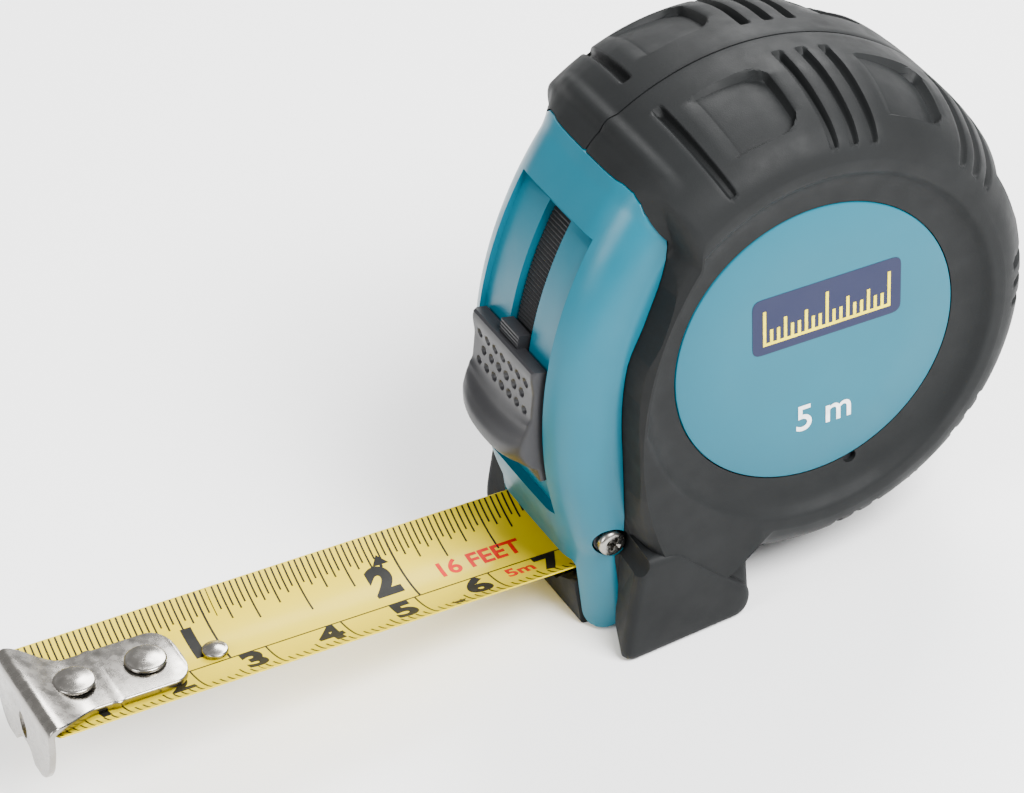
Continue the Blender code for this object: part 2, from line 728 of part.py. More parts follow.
def blade_lathe(name, s, profile, sides=20):
    """Profile of (radius, lift) turned round a line square to the blade."""
    centre = Vector(blade_frame(s, 0.0, 0.0))
    up = Vector((-math.sin(BLADE_TILT), 0, math.cos(BLADE_TILT)))
    ahead = Vector((math.cos(BLADE_TILT), 0, math.sin(BLADE_TILT)))
    across = Vector((0, 1, 0))
    verts = []
    faces = []
    rows = []
    for radius, lift in profile:
        if radius == 0:
            rows.append([len(verts)])
            verts.append(centre + up * lift)
            continue
        rows.append(list(range(len(verts), len(verts) + sides)))
        for i in range(sides):
            angle = 2 * math.pi * i / sides
            verts.append(centre + up * lift + ahead * radius * math.cos(angle) + across * radius * math.sin(angle))
    for a, b in zip(rows, rows[1:]):
        for i in range(sides):
            j = (i + 1) % sides
            face = list(dict.fromkeys([a[i % len(a)], a[j % len(a)], b[j % len(b)], b[i % len(b)]]))
            if len(face) > 2:
                faces.append(tuple(face))
    return solid(name, verts, faces)


HOOK_THICK = 0.9
HOOK_HALF = 8.7
TONGUE_HALF = 5.3
HOOK_LENGTH = 19.6
LEG_DROP = 9.2
RIVETS = [(6.0, 2.6), (15.2, 2.6), (24.2, 1.65)]


def build_rivet(name, s, radius, seat, mat):
    """Domed rivet: head above its seat, shank through, and a small upset tail."""
    shank = radius * 0.55
    tail = -BLADE_THICK - GAP - 0.25 - GAP
    profile = [(0, tail - 0.3), (radius * 0.72, tail - 0.3), (radius * 0.8, tail), (shank, tail), (shank, seat),
               (radius, seat), (radius, seat + 0.3), (radius * 0.88, seat + 0.52), (radius * 0.5, seat + 0.72),
               (0, seat + 0.78)]
    return tidy(blade_lathe(name, s, profile), mat)


def edge_rise(y):
    """Height of the blade at y above its middle."""
    turn = trough(BLADE_WIDTH, BLADE_RISE)[-1][2]
    radius = BLADE_WIDTH / 2 / turn
    return radius - math.sqrt(radius ** 2 - y ** 2)


def hook_half_width(s):
    """Half width of the hook plate at a distance back from its leg."""
    if s > HOOK_LENGTH - 2.6:
        back = (s - (HOOK_LENGTH - 2.6)) / 2.6
        return TONGUE_HALF * (0.42 + 0.58 * math.sqrt(max(0.0, 1 - back * back)))
    return TONGUE_HALF + (HOOK_HALF - TONGUE_HALF) * (1 - ease(s, 0.4, 6.6))


def hook_height(s):
    """Upper face of the hook plate, which lies across the curve of the blade."""
    half = max(TONGUE_HALF, hook_half_width(s))
    return edge_rise(half) + 0.32 + HOOK_THICK


def build_hook(mat):
    """Steel end hook: plate with a play slot, fold, and notched leg with a nail hole."""
    rings = []
    fold = hook_height(0.0)
    path = [(s, hook_height(s), hook_half_width(s), 0.0) for s in
            (HOOK_LENGTH, 19.2, 18.4, 17.4, 16.0, 9.0, 6.6, 5.6, 4.6, 3.6, 2.6, 1.6, 0.8)]
    radius = 1.5
    for turn in (15, 40, 65, 90):
        angle = math.radians(turn)
        path.append((0.6 - radius * math.sin(angle), fold - radius * (1 - math.cos(angle)), HOOK_HALF, angle))
    bottom = fold - LEG_DROP
    for drop, half in ((2.8, 8.7), (4.6, 8.5), (6.4, 7.9), (8.0, 6.9), (8.8, 6.2), (9.2, 5.4)):
        path.append((0.6 - radius, fold - drop, half, math.radians(90)))
    for s, lift, half, angle in path:
        ns, nl = -math.sin(angle), math.cos(angle)
        ring = []
        for depth, y in ((0, -half), (0, half), (HOOK_THICK, half), (HOOK_THICK, -half)):
            ring.append(blade_frame(s - ns * depth, y, lift - nl * depth))
        rings.append(ring)
    hook = loft("end_hook", rings)
    slot = [(4.2, -1.75), (7.4, -1.75), (7.9, -1.2), (8.1, 0), (7.9, 1.2), (7.4, 1.75), (4.2, 1.75),
            (3.7, 1.2), (3.5, 0), (3.7, -1.2)]
    cut(hook, blade_prism("front_slot", slot, 0.2, 5.0))
    slot = [(s + RIVETS[1][0] - RIVETS[0][0], y) for s, y in slot]
    cut(hook, blade_prism("rear_slot", slot, 0.2, 5.0))
    notch = [(3.3, bottom - 1), (2.0, bottom + 1.6), (1.2, bottom + 2.3), (-1.2, bottom + 2.3),
             (-2.0, bottom + 1.6), (-3.3, bottom - 1)]
    cut(hook, leg_prism("leg_notch", notch))
    nail = []
    for i in range(16):
        angle = 2 * math.pi * i / 16
        nail.append((0.9 * math.cos(angle), bottom + 4.2 + 1.6 * math.sin(angle)))
    cut(hook, leg_prism("nail_hole", nail))
    return tidy(hook, mat, 30)


def blade_prism(name, outline, low, high):
    """Outline along and across the blade, run square to it."""
    return loft(name, [[blade_frame(s, y, lift) for s, y in outline] for lift in (low, high)])


def leg_prism(name, outline):
    """Outline across and down the hook's leg, run through it."""
    return loft(name, [[blade_frame(s, y, lift) for y, lift in outline] for s in (-4.0, 3.0)])


# ------------------------------------------------------------- lock

def build_button(mat):
    """Thumb button: a plate in the track, a scooped face, and a lip at its lower end."""
    rows = []
    half = LOCK_HALF
    bottom = TRACK_RADIUS + GAP
    shape = [(LOCK_TOP, 1.9), (LOCK_TOP - 0.8, 2.0), (LOCK_TOP - 4, 1.5), (LOCK_TOP - 7.5, 1.7), (LOCK_TOP - 10, 2.3),
             (LOCK_TOP - 12, 3.2), (LOCK_TOP - 13.2, 3.7), (LOCK_TOP - 14.2, 3.8), (LOCK_TOP - 15.2, 3.3),
             (LOCK_TOP - 16.4, 2.3), (LOCK_TOP - 17.4, 1.5), (LOCK_BOTTOM, 1.0)]
    for i in range(9):
        y = half * (2 * i / 8 - 1)
        edge = abs(y / half)
        ring = []
        for angle, height in shape:
            lip = max(0.0, height - 2.0)
            level = min(height, 2.0) + lip * (1 - 0.45 * edge ** 3)
            rise = 1.8 * edge ** 2 * ease(LOCK_TOP - angle, 6, 12)
            turn = math.radians(min(LOCK_TOP, angle + rise * (angle > LOCK_BOTTOM)))
            ring.append(front_point(bottom + level, turn, y))
        for k in range(7):
            turn = math.radians(LOCK_BOTTOM + (LOCK_TOP - LOCK_BOTTOM) * k / 6)
            ring.append(front_point(bottom, turn, y))
        rows.append(ring)
    button = loft("lock_button", rows)
    join(button, arc_block("boss", TRACK_RADIUS - 0.2, TRACK_RADIUS + 1.5, LOCK_TOP - 1, LOCK_TOP + 2.0, 2.3, 4))
    return tidy(button, mat, 40)


def front_point(radius, turn, y):
    """Point round the front centre."""
    return (FRONT_CENTRE[0] + radius * math.cos(turn), y, FRONT_CENTRE[1] + radius * math.sin(turn))


def build_lock_strip(mat):
    """Curved slide behind the cover. Its ribbed spine fills the slot, and its lower end meets the brake."""
    strip = arc_block("lock_strip", 47.5, 48.3, -16.0, 36.5, 4.6, 20)
    join(strip, arc_block("spine", 48.0, SPINE_TOP, -11.5, 35.2, SLOT_HALF - GAP, 20))
    return tidy(strip, mat, 30)


def build_brake(mat):
    """Block on the lower end of the lock slide that bears down over the blade."""
    outline = [(24.9, 9.3), (27.9, 9.5), (28.3, 10.9), (27.6, 11.2), (25.6, 12.4), (24.9, 12.0)]
    return tidy(prism_y("brake_pad", outline, -3.2, 3.2), mat, 30)


# ------------------------------------------------------------- assembly

def main():
    clear_scene()
    rubber = (0.045, 0.048, 0.053)
    teal = (0.0, 0.32, 0.46)
    nickel = (0.62, 0.60, 0.57)
    yellow = (0.85, 0.72, 0.06)
    black = (0.02, 0.02, 0.022)
    for side, word in ((1, "left"), (-1, "right")):
        build_grip(word + "_grip", side, material(word + "_grip", rubber, 0, 0.62))
        build_shell(word + "_shell", side, material(word + "_shell", (0.05, 0.05, 0.055), 0, 0.5))
        build_label(word + "_label", side, material(word + "_label", teal, 0, 0.45))
        build_screw(word + "_cover_screw", screw_place(), TONGUE[1] + 0.7, 6.4, 1.75, 0.9, side,
                    material(word + "_cover_screw", nickel, 1, 0.25))
        build_screw(word + "_centre_screw", (0.0, AXIS_Z), SHELL_SIDE, 6.0, 2.9, 1.2, side,
                    material(word + "_centre_screw", nickel, 1, 0.3))
    build_cover(material("front_cover", teal, 0, 0.35))
    build_lip(material("mouth_bumper", rubber, 0, 0.7))
    build_post(material("centre_post", nickel, 1, 0.35))
    build_clip(material("belt_clip", nickel, 1, 0.3))
    build_screw("belt_clip_screw", CLIP_SCREW, 20.2, 7.0, 2.8, 1.0, -1, material("belt_clip_screw", nickel, 1, 0.3))

    reel = [build_drum(material("reel_drum", (0.55, 0.55, 0.53), 0, 0.5)),
            build_drum_cover(material("drum_cover", (0.55, 0.55, 0.53), 0, 0.5)),
            build_coil(material("blade_coil", yellow, 0, 0.4)),
            build_spring(material("recoil_spring", (0.3, 0.3, 0.32), 1, 0.35))]
    for piece in reel:
        set_origin(piece, (0, 0, AXIS_Z))

    blade = [build_blade_end(material("blade_end", yellow, 0, 0.35)),
             build_blade_run(material("blade_run", yellow, 0, 0.35)),
             build_backing(material("blade_backing", nickel, 1, 0.4))]
    plate = hook_height(RIVETS[1][0])
    seats = (plate + 1.0, plate + GAP, 0.32)
    for (s, radius), word, seat in zip(RIVETS, ("front_rivet", "rear_rivet", "backing_rivet"), seats):
        blade.append(build_rivet(word, s, radius, seat, material(word, nickel, 1, 0.25)))
    blade.append(build_hook(material("end_hook", nickel, 1, 0.3)))
    for piece in blade:
        set_origin(piece, blade_frame(BLADE_OUT, 0, 0))

    lock = [build_button(material("lock_button", black, 0, 0.5)),
            build_lock_strip(material("lock_strip", black, 0, 0.55)),
            build_brake(material("brake_pad", black, 0, 0.6))]
    for piece in lock:
        set_origin(piece, (FRONT_CENTRE[0], 0, FRONT_CENTRE[1]))


main()
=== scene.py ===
"""Looks for the pocket tape measure: fine moulded case, printed blade, plated hook and studio light.

Lengths are in millimetres until a mesh is made, as in the model's own source.
+X is the way the blade pulls out, +Y is the side of the left label, +Z is up.
"""
import math

import bmesh
import bpy
from mathutils import Matrix, Quaternion, Vector


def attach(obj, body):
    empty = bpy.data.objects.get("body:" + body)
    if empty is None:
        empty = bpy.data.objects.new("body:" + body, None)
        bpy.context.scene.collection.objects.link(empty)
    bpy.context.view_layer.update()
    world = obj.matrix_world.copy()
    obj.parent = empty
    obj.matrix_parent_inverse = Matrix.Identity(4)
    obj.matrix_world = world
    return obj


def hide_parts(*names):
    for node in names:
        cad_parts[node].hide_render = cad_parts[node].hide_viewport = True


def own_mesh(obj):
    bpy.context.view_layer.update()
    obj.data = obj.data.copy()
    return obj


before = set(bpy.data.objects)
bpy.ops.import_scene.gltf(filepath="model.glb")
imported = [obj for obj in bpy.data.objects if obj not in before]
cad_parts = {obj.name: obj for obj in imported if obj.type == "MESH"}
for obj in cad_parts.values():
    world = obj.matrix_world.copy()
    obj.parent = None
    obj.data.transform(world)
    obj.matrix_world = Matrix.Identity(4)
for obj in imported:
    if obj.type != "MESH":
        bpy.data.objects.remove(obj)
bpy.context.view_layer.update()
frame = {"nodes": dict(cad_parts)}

MM = 0.001

# Case outline, seen from the side
AXIS_Z = 34.9
RIM_RADIUS = 32.8
FRONT_CENTRE = (-17.3, 25.0)
FRONT_RADIUS = 51.0
FRONT_X = 32.0
FRONT_JOIN_Z = 12.0
HEEL = (-11.0, -16.0, 6.0)
BLEND_TOP = (59.0, 50.0)

# Case section, from the mid plane out to the side
CASE_SIDE = 19.0
RIM_PROFILE = [(0, 0), (4, 0.05), (7, 0.25), (10, 0.8), (12.3, 1.5), (14.3, 2.3), (16.3, 3.4),
               (18.0, 5.0), (18.7, 6.2), (19.0, 7.2)]
FRONT_PROFILE = [(0, 0), (7, 0.05), (10, 0.8), (12.3, 2.4), (13.7, 4.9), (14.3, 7.0), (16.3, 7.4),
                 (18.0, 7.9), (19.0, 8.6)]
BASE_PROFILE = [(0, 0), (8, 0), (13, 4.2), (16, 8.0), (19, 13.0)]
RING_PROFILE = [(19.7, 17.25), (21.4, 17.35), (22.7, 17.8), (23.5, 18.45), (23.95, 18.85),
                (24.4, 19.0), (25.4, 19.0)]
PARTING = 0.12
GRIP_THICK = 2.0
LABEL_RADIUS = 19.0
LABEL_FACE = 17.4
LABEL_BACK = 16.6
GRIP_INNER_SIDE = 16.6

COVER_EDGE = [(17.2, 61.2), (16.0, 56.0), (17.0, 51.9), (20.3, 45.1), (23.4, 39.4), (24.9, 32.0),
              (25.4, 25.9), (25.9, 19.9), (26.3, 15.2)]
COVER_TOP = 61.0
COVER_SHOULDER = [(8.5, 61.0), (10.4, 60.6), (11.7, 59.7), (12.6, 58.3), (13.4, 56.4), (14.3, 53.6)]
COVER_THICK = 2.3
COVER_HALF = 14.3
GAP = 0.15
TONGUE = (9.6, 13.3)
MOUTH_TOP = 10.3
SCREW_PLACE = (27.9, 14.3)
CLIP_SCREW = (0.0, 47.0)

# Grip relief, in degrees round the reel axis and millimetres
GROOVE_SETS = [105.0, 146.0, 186.0, 225.0, 263.0]
GROOVE_STEP = 5.6
SINGLE_GROOVE = 70.5
GROOVE_HALF = 0.72
GROOVE_DEEP = 1.05
GROOVE_SPAN = (3.6, 18.4)
BASE_GROOVES = 240.0
SHOULDER_START = 14.6
PANEL_ANGLES = [86.0, 126.0, 166.0, 206.0]
PANEL_HALF = 4.4
PANEL_SPAN = (5.6, 15.4)
PANEL_DEEP = 1.3
CREST_ANGLE = 61.5             # crest of the rim above the cover
CREST_WIDE = 3.0
CREST_RISE = 0.45

# Blade
BLADE_WIDTH = 19.0
BLADE_THICK = 0.2
BLADE_RISE = 2.8
BLADE_TILT = math.radians(5.7)
MOUTH_POINT = (32.0, 6.3)
BLADE_OUT = 68.0
BLADE_END = 27.0
COIL_RADIUS = 25.6
RIVETS = [(6.0, 2.6), (15.2, 2.6), (24.2, 1.65)]

# Hook
HOOK_THICK = 0.9
HOOK_HALF = 8.7
TONGUE_HALF = 5.3
HOOK_LENGTH = 19.6
LEG_DROP = 9.2

# Lock, in degrees round the front centre
TRACK_RADIUS = 49.8
LOCK_TOP = 15.6
LOCK_BOTTOM = -2.4
LOCK_HALF = 8.0
SLOT_HALF = 2.7
SLOT_RANGE = (-1.0, 35.8)
TRACK_RANGE = (-8.0, 36.6)
TRACK_HALF = 8.8
SPINE_TOP = 49.0

# Camera
CAMERA_PLACE = Vector((0.2006, 0.4115, 0.3755))
CAMERA_LOOK = Vector((-0.2985, -0.7312, -0.6133))
CAMERA_ROLL = math.radians(-8.17)
CAMERA_LENS = 163.9


# ---------------------------------------------------------------- helpers

def ease(value, low, high):
    """0 below low, 1 above high, and a smooth step between them."""
    t = min(1.0, max(0.0, (value - low) / (high - low)))
    return t * t * (3 - 2 * t)


def table(profile, x):
    """Smooth curve through the profile's points that doesn't overshoot them."""
    count = len(profile)
    if x <= profile[0][0]:
        return profile[0][1]
    if x >= profile[-1][0]:
        return profile[-1][1]
    slopes = [(b[1] - a[1]) / (b[0] - a[0]) for a, b in zip(profile, profile[1:])]
    k = max(i for i in range(count - 1) if profile[i][0] <= x)
    tangents = []
    for i in (k, k + 1):
        if i == 0:
            tangents.append(slopes[0])
        elif i == count - 1:
            tangents.append(slopes[-1])
        elif slopes[i - 1] * slopes[i] <= 0:
            tangents.append(0.0)
        else:
            tangents.append(2 * slopes[i - 1] * slopes[i] / (slopes[i - 1] + slopes[i]))
    (x0, y0), (x1, y1) = profile[k], profile[k + 1]
    span = x1 - x0
    t = (x - x0) / span
    return ((2 * t ** 3 - 3 * t ** 2 + 1) * y0 + (t ** 3 - 2 * t ** 2 + t) * span * tangents[0]
            + (3 * t ** 2 - 2 * t ** 3) * y1 + (t ** 3 - t ** 2) * span * tangents[1])


def spread(low, high, count):
    """Evenly spaced values from low to high."""
    return [low + (high - low) * i / (count - 1) for i in range(count)]


def solid(name, verts, faces, smooth=35.0):
    """Object from millimetre corners, with its faces turned outward."""
    mesh = bpy.data.meshes.new(name)
    mesh.from_pydata([Vector(v) * MM for v in verts], [], faces)
    work = bmesh.new()
    work.from_mesh(mesh)
    bmesh.ops.remove_doubles(work, verts=work.verts, dist=1e-7)
    bmesh.ops.recalc_face_normals(work, faces=work.faces)
    if work.calc_volume(signed=True) < 0:
        bmesh.ops.reverse_faces(work, faces=work.faces)
    work.to_mesh(mesh)
    work.free()
    piece = bpy.data.objects.new(name, mesh)
    bpy.context.scene.collection.objects.link(piece)
    shade(piece, smooth)
    return piece


def shade(piece, angle=35.0):
    """Smooth shading, with edges sharper than the angle kept crisp."""
    piece.data.shade_smooth()
    piece.data.set_sharp_from_angle(angle=math.radians(angle))


def loft(name, rings, smooth=35.0):
    """Skin over equal rings, capped at both ends."""
    count = len(rings[0])
    verts = [point for ring in rings for point in ring]
    faces = []
    for r in range(len(rings) - 1):
        a = r * count
        b = a + count
        for i in range(count):
            j = (i + 1) % count
            faces.append((a + i, a + j, b + j, b + i))
    faces.append(tuple(range(count)))
    faces.append(tuple(range((len(rings) - 1) * count, len(rings) * count)))
    return solid(name, verts, faces, smooth)


def prism_y(name, outline, y0, y1):
    """Outline in X and Z, run from y0 to y1."""
    return loft(name, [[(x, y, z) for x, z in outline] for y in (y0, y1)])


def prism_x(name, outline, x0, x1):
    """Outline in Y and Z, run from x0 to x1."""
    return loft(name, [[(x, y, z) for y, z in outline] for x in (x0, x1)])


def box(name, low, high):
    """Box between two corners."""
    outline = [(low[0], low[2]), (high[0], low[2]), (high[0], high[2]), (low[0], high[2])]
    return prism_y(name, outline, low[1], high[1])


def turned(name, profile, origin, axis, sides=64, smooth=35.0):
    """Profile of (radius, height) turned round an axis through a point."""
    axis = Vector(axis).normalized()
    first = axis.orthogonal().normalized()
    second = axis.cross(first)
    verts = []
    rows = []
    for radius, height in profile:
        centre = Vector(origin) + axis * height
        if radius == 0:
            rows.append([len(verts)])
            verts.append(centre)
            continue
        rows.append(list(range(len(verts), len(verts) + sides)))
        for i in range(sides):
            turn = 2 * math.pi * i / sides
            verts.append(centre + first * radius * math.cos(turn) + second * radius * math.sin(turn))
    faces = []
    for a, b in zip(rows, rows[1:]):
        for i in range(sides):
            j = (i + 1) % sides
            face = list(dict.fromkeys([a[i % len(a)], a[j % len(a)], b[j % len(b)], b[i % len(b)]]))
            if len(face) > 2:
                faces.append(tuple(face))
    return solid(name, verts, faces, smooth)


def rod_y(name, centre, radius, y0, y1, sides=64):
    """Plain round bar along Y."""
    profile = [(0, y0), (radius, y0), (radius, y1), (0, y1)]
    return turned(name, profile, (centre[0], 0, centre[1]), (0, 1, 0), sides)


def split_faces(piece):
    """Turn every face into triangles, so that none is bent."""
    work = bmesh.new()
    work.from_mesh(piece.data)
    bmesh.ops.triangulate(work, faces=work.faces)
    work.to_mesh(piece.data)
    work.free()


def combine(target, tool, operation="DIFFERENCE"):
    """Exact boolean, after which the tool is gone."""
    split_faces(target)
    split_faces(tool)
    step = target.modifiers.new(operation, "BOOLEAN")
    step.operation = operation
    step.solver = "EXACT"
    step.object = tool
    bake(target)
    bpy.data.objects.remove(tool, do_unlink=True)
    return target


def bake(piece):
    """Apply the piece's modifiers."""
    depsgraph = bpy.context.evaluated_depsgraph_get()
    result = bpy.data.meshes.new_from_object(piece.evaluated_get(depsgraph))
    piece.modifiers.clear()
    piece.data = result


def soften(piece, width, angle=40.0, segments=3):
    """Round over the sharp edges."""
    step = piece.modifiers.new("soften", "BEVEL")
    step.width = width * MM
    step.segments = segments
    step.limit_method = "ANGLE"
    step.angle_limit = math.radians(angle)
    step.harden_normals = False
    bake(piece)
    shade(piece, 40)
    return piece


def copy_mirrored(piece, name):
    """The piece on the other side of the mid plane."""
    mesh = piece.data.copy()
    mesh.transform(Matrix.Diagonal((1, -1, 1, 1)))
    mesh.flip_normals()
    other = bpy.data.objects.new(name, mesh)
    bpy.context.scene.collection.objects.link(other)
    shade(other)
    return other


def rounded(corners, radius, steps=5):
    """Outline with each corner turned into a short curve."""
    points = []
    count = len(corners)
    for i in range(count):
        here = Vector(corners[i])
        before = Vector(corners[i - 1]) - here
        after = Vector(corners[(i + 1) % count]) - here
        reach = min(radius, before.length * 0.45, after.length * 0.45)
        start = here + before.normalized() * reach
        end = here + after.normalized() * reach
        for k in range(steps):
            t = k / (steps - 1)
            points.append(tuple((1 - t) ** 2 * start + 2 * t * (1 - t) * here + t * t * end))
    return points


# ---------------------------------------------------------------- materials

TEAL = (0.0, 0.095, 0.142)
CHARCOAL = (0.0065, 0.0072, 0.0075)
NICKEL = (0.30, 0.285, 0.262)
YELLOW = (0.60, 0.455, 0.0)
BLACK = (0.012, 0.012, 0.013)
PRINT = (0.010, 0.010, 0.009)
RED = (0.5, 0.012, 0.004)
NAVY = (0.0, 0.003, 0.032)


class Look:
    """Principled material with its own fine grain, slow colour drift and uneven gloss."""

    def __init__(self, name, colour, roughness, metallic=0.0):
        """Start from one even colour and roughness."""
        self.material = bpy.data.materials.new(name)
        self.material.use_nodes = True
        self.tree = self.material.node_tree
        self.shader = self.tree.nodes["Principled BSDF"]
        self.colour = colour
        self.roughness = roughness
        self.shader.inputs["Base Color"].default_value = (*colour, 1)
        self.shader.inputs["Roughness"].default_value = roughness
        self.shader.inputs["Metallic"].default_value = metallic
        self.place = self.tree.nodes.new("ShaderNodeTexCoord").outputs["Object"]
        self.normal = None

    def noise(self, size, detail=3.0, stretch=(1, 1, 1)):
        """Noise whose grains are about the size given, in millimetres."""
        mapping = self.tree.nodes.new("ShaderNodeMapping")
        mapping.inputs["Scale"].default_value = [v / (size * MM) for v in stretch]
        texture = self.tree.nodes.new("ShaderNodeTexNoise")
        texture.inputs["Scale"].default_value = 1.0
        texture.inputs["Detail"].default_value = detail
        self.tree.links.new(self.place, mapping.inputs["Vector"])
        self.tree.links.new(mapping.outputs["Vector"], texture.inputs["Vector"])
        return texture.outputs["Fac"]

    def remap(self, value, low, high, to_low, to_high):
        """Move a value from one range to another."""
        node = self.tree.nodes.new("ShaderNodeMapRange")
        node.inputs["From Min"].default_value = low
        node.inputs["From Max"].default_value = high
        node.inputs["To Min"].default_value = to_low
        node.inputs["To Max"].default_value = to_high
        self.tree.links.new(value, node.inputs["Value"])
        return node.outputs["Result"]

    def bump(self, value, strength, depth):
        """Add relief, in millimetres, on top of any before it."""
        node = self.tree.nodes.new("ShaderNodeBump")
        node.inputs["Strength"].default_value = strength
        node.inputs["Distance"].default_value = depth * MM
        self.tree.links.new(value, node.inputs["Height"])
        if self.normal:
            self.tree.links.new(self.normal, node.inputs["Normal"])
        self.normal = node.outputs["Normal"]
        self.tree.links.new(self.normal, self.shader.inputs["Normal"])
        return self

    def drift(self, value, darker, lighter):
        """Colour moves between a darker and a lighter share of itself."""
        node = self.tree.nodes.new("ShaderNodeMix")
        node.data_type = "RGBA"
        node.inputs["A"].default_value = (*[c * darker for c in self.colour], 1)
        node.inputs["B"].default_value = (*[min(1, c * lighter) for c in self.colour], 1)
        self.tree.links.new(self.remap(value, 0.3, 0.7, 0, 1), node.inputs["Factor"])
        self.tree.links.new(node.outputs["Result"], self.shader.inputs["Base Color"])
        return self

    def sheen(self, level):
        """How much the surface mirrors its surroundings."""
        self.shader.inputs["Specular IOR Level"].default_value = level
        return self

    def gloss(self, value, spread_by):
        """Roughness wanders either side of its middle value."""
        rough = self.remap(value, 0.3, 0.7, self.roughness - spread_by, self.roughness + spread_by)
        self.tree.links.new(rough, self.shader.inputs["Roughness"])
        return self


def rubber(name, colour=CHARCOAL):
    """Matt rubber with a fine moulded grain."""
    look = Look(name, colour, 0.6)
    look.drift(look.noise(9, 4), 0.86, 1.14)
    look.gloss(look.noise(3, 3), 0.06)
    look.bump(look.noise(0.16, 2), 0.32, 0.05)
    look.bump(look.noise(2.5, 3), 0.10, 0.12)
    look.sheen(0.15)
    return look.material


def plastic(name, colour, roughness, grain=0.25, strength=0.1):
    """Moulded plastic."""
    look = Look(name, colour, roughness)
    look.drift(look.noise(12, 3), 0.95, 1.05)
    look.gloss(look.noise(4, 4), 0.05)
    look.bump(look.noise(grain, 2), strength, 0.04)
    look.sheen(0.3)
    return look.material


def metal(name, colour, roughness, stretch=(1, 1, 1), brushed=0.12):
    """Metal with a grain that can be stretched into brushing."""
    look = Look(name, colour, roughness, 1.0)
    look.drift(look.noise(3, 4), 0.88, 1.06)
    look.gloss(look.noise(1.2, 4), 0.07)
    look.bump(look.noise(0.5, 4, stretch), brushed, 0.03)
    look.bump(look.noise(4, 2), 0.08, 0.08)
    return look.material


def lacquer(name, colour):
    """Painted steel under a thin clear coat."""
    look = Look(name, colour, 0.38)
    look.sheen(0.12)
    look.drift(look.noise(14, 3), 0.96, 1.04)
    look.gloss(look.noise(5, 3), 0.05)
    look.bump(look.noise(0.3, 2), 0.05, 0.03)
    look.shader.inputs["Coat Weight"].default_value = 0.08
    look.shader.inputs["Coat Roughness"].default_value = 0.18
    return look.material


def ink(name, colour):
    """Printed colour."""
    look = Look(name, colour, 0.5)
    look.sheen(0.1)
    look.drift(look.noise(1.0, 3), 0.85, 1.15)
    look.bump(look.noise(0.2, 2), 0.05, 0.02)
    return look.material


def dress(piece, mat):
    """Give the piece its one material."""
    piece.data.materials.clear()
    piece.data.materials.append(mat)
    for face in piece.data.polygons:
        face.material_index = 0
    return piece


def stand_for(piece, body, mat, *nodes, slot=None):
    """Dress a piece, make it ride on its body, and let it stand for its CAD nodes."""
    dress(piece, mat)
    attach(piece, body)
    if nodes:
        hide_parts(*nodes)
    return piece


# ---------------------------------------------------------------- case shape

def front_reach(angle, inset):
    """Distance from the reel axis to the front of the case, along an angle."""
    ux, uz = math.cos(angle), math.sin(angle)
    dx, dz = -FRONT_CENTRE[0], AXIS_Z - FRONT_CENTRE[1]
    along = dx * ux + dz * uz
    radius = FRONT_RADIUS - inset
    reach = -along + math.sqrt(max(0.0, along ** 2 - dx ** 2 - dz ** 2 + radius ** 2))
    if AXIS_Z + reach * uz < FRONT_JOIN_Z and ux > 0:
        reach = (FRONT_X - inset) / ux
    return reach


def case_reach(degrees, y, inset):
    """Distance from the reel axis to the skin of the case at an angle and a height off the mid plane."""
    angle = math.radians(degrees)
    ux, uz = math.cos(angle), math.sin(angle)
    rim = RIM_RADIUS - table(RIM_PROFILE, y) - inset
    if degrees >= BLEND_TOP[0] or degrees <= -150:
        return rim
    front = front_reach(angle, table(FRONT_PROFILE, y) + inset) if ux > 0 else 1e3
    if degrees > BLEND_TOP[1]:
        return front + (rim - front) * ease(degrees, BLEND_TOP[1], BLEND_TOP[0])
    narrow = ease(-degrees, 58, 76)
    floor = table(BASE_PROFILE, y) * narrow + max(0.0, y - 14) * 1.2 * (1 - narrow) + inset
    base = (AXIS_Z - floor) / -uz if uz < 0 else 1e3
    block = min(front, base)
    if degrees > -50:
        return block
    nx, nz = -HEEL[2], HEEL[1] - HEEL[0]
    length = math.hypot(nx, nz)
    toward = (nx * ux + nz * uz) / length
    if toward > 0:
        heel = ((nx * HEEL[0] - nz * AXIS_Z) / length - inset - table(RIM_PROFILE, y)) / toward
        block = min(block, heel)
    return max(rim, block)


def groove_centres():
    """(angle, height off the mid plane where it starts) of every groove."""
    centres = [(SINGLE_GROOVE, GROOVE_SPAN[0])]
    for middle in GROOVE_SETS:
        start = GROOVE_SPAN[0] if middle < BASE_GROOVES else SHOULDER_START
        centres += [(middle + step * GROOVE_STEP, start) for step in (-1, 0, 1)]
    return centres


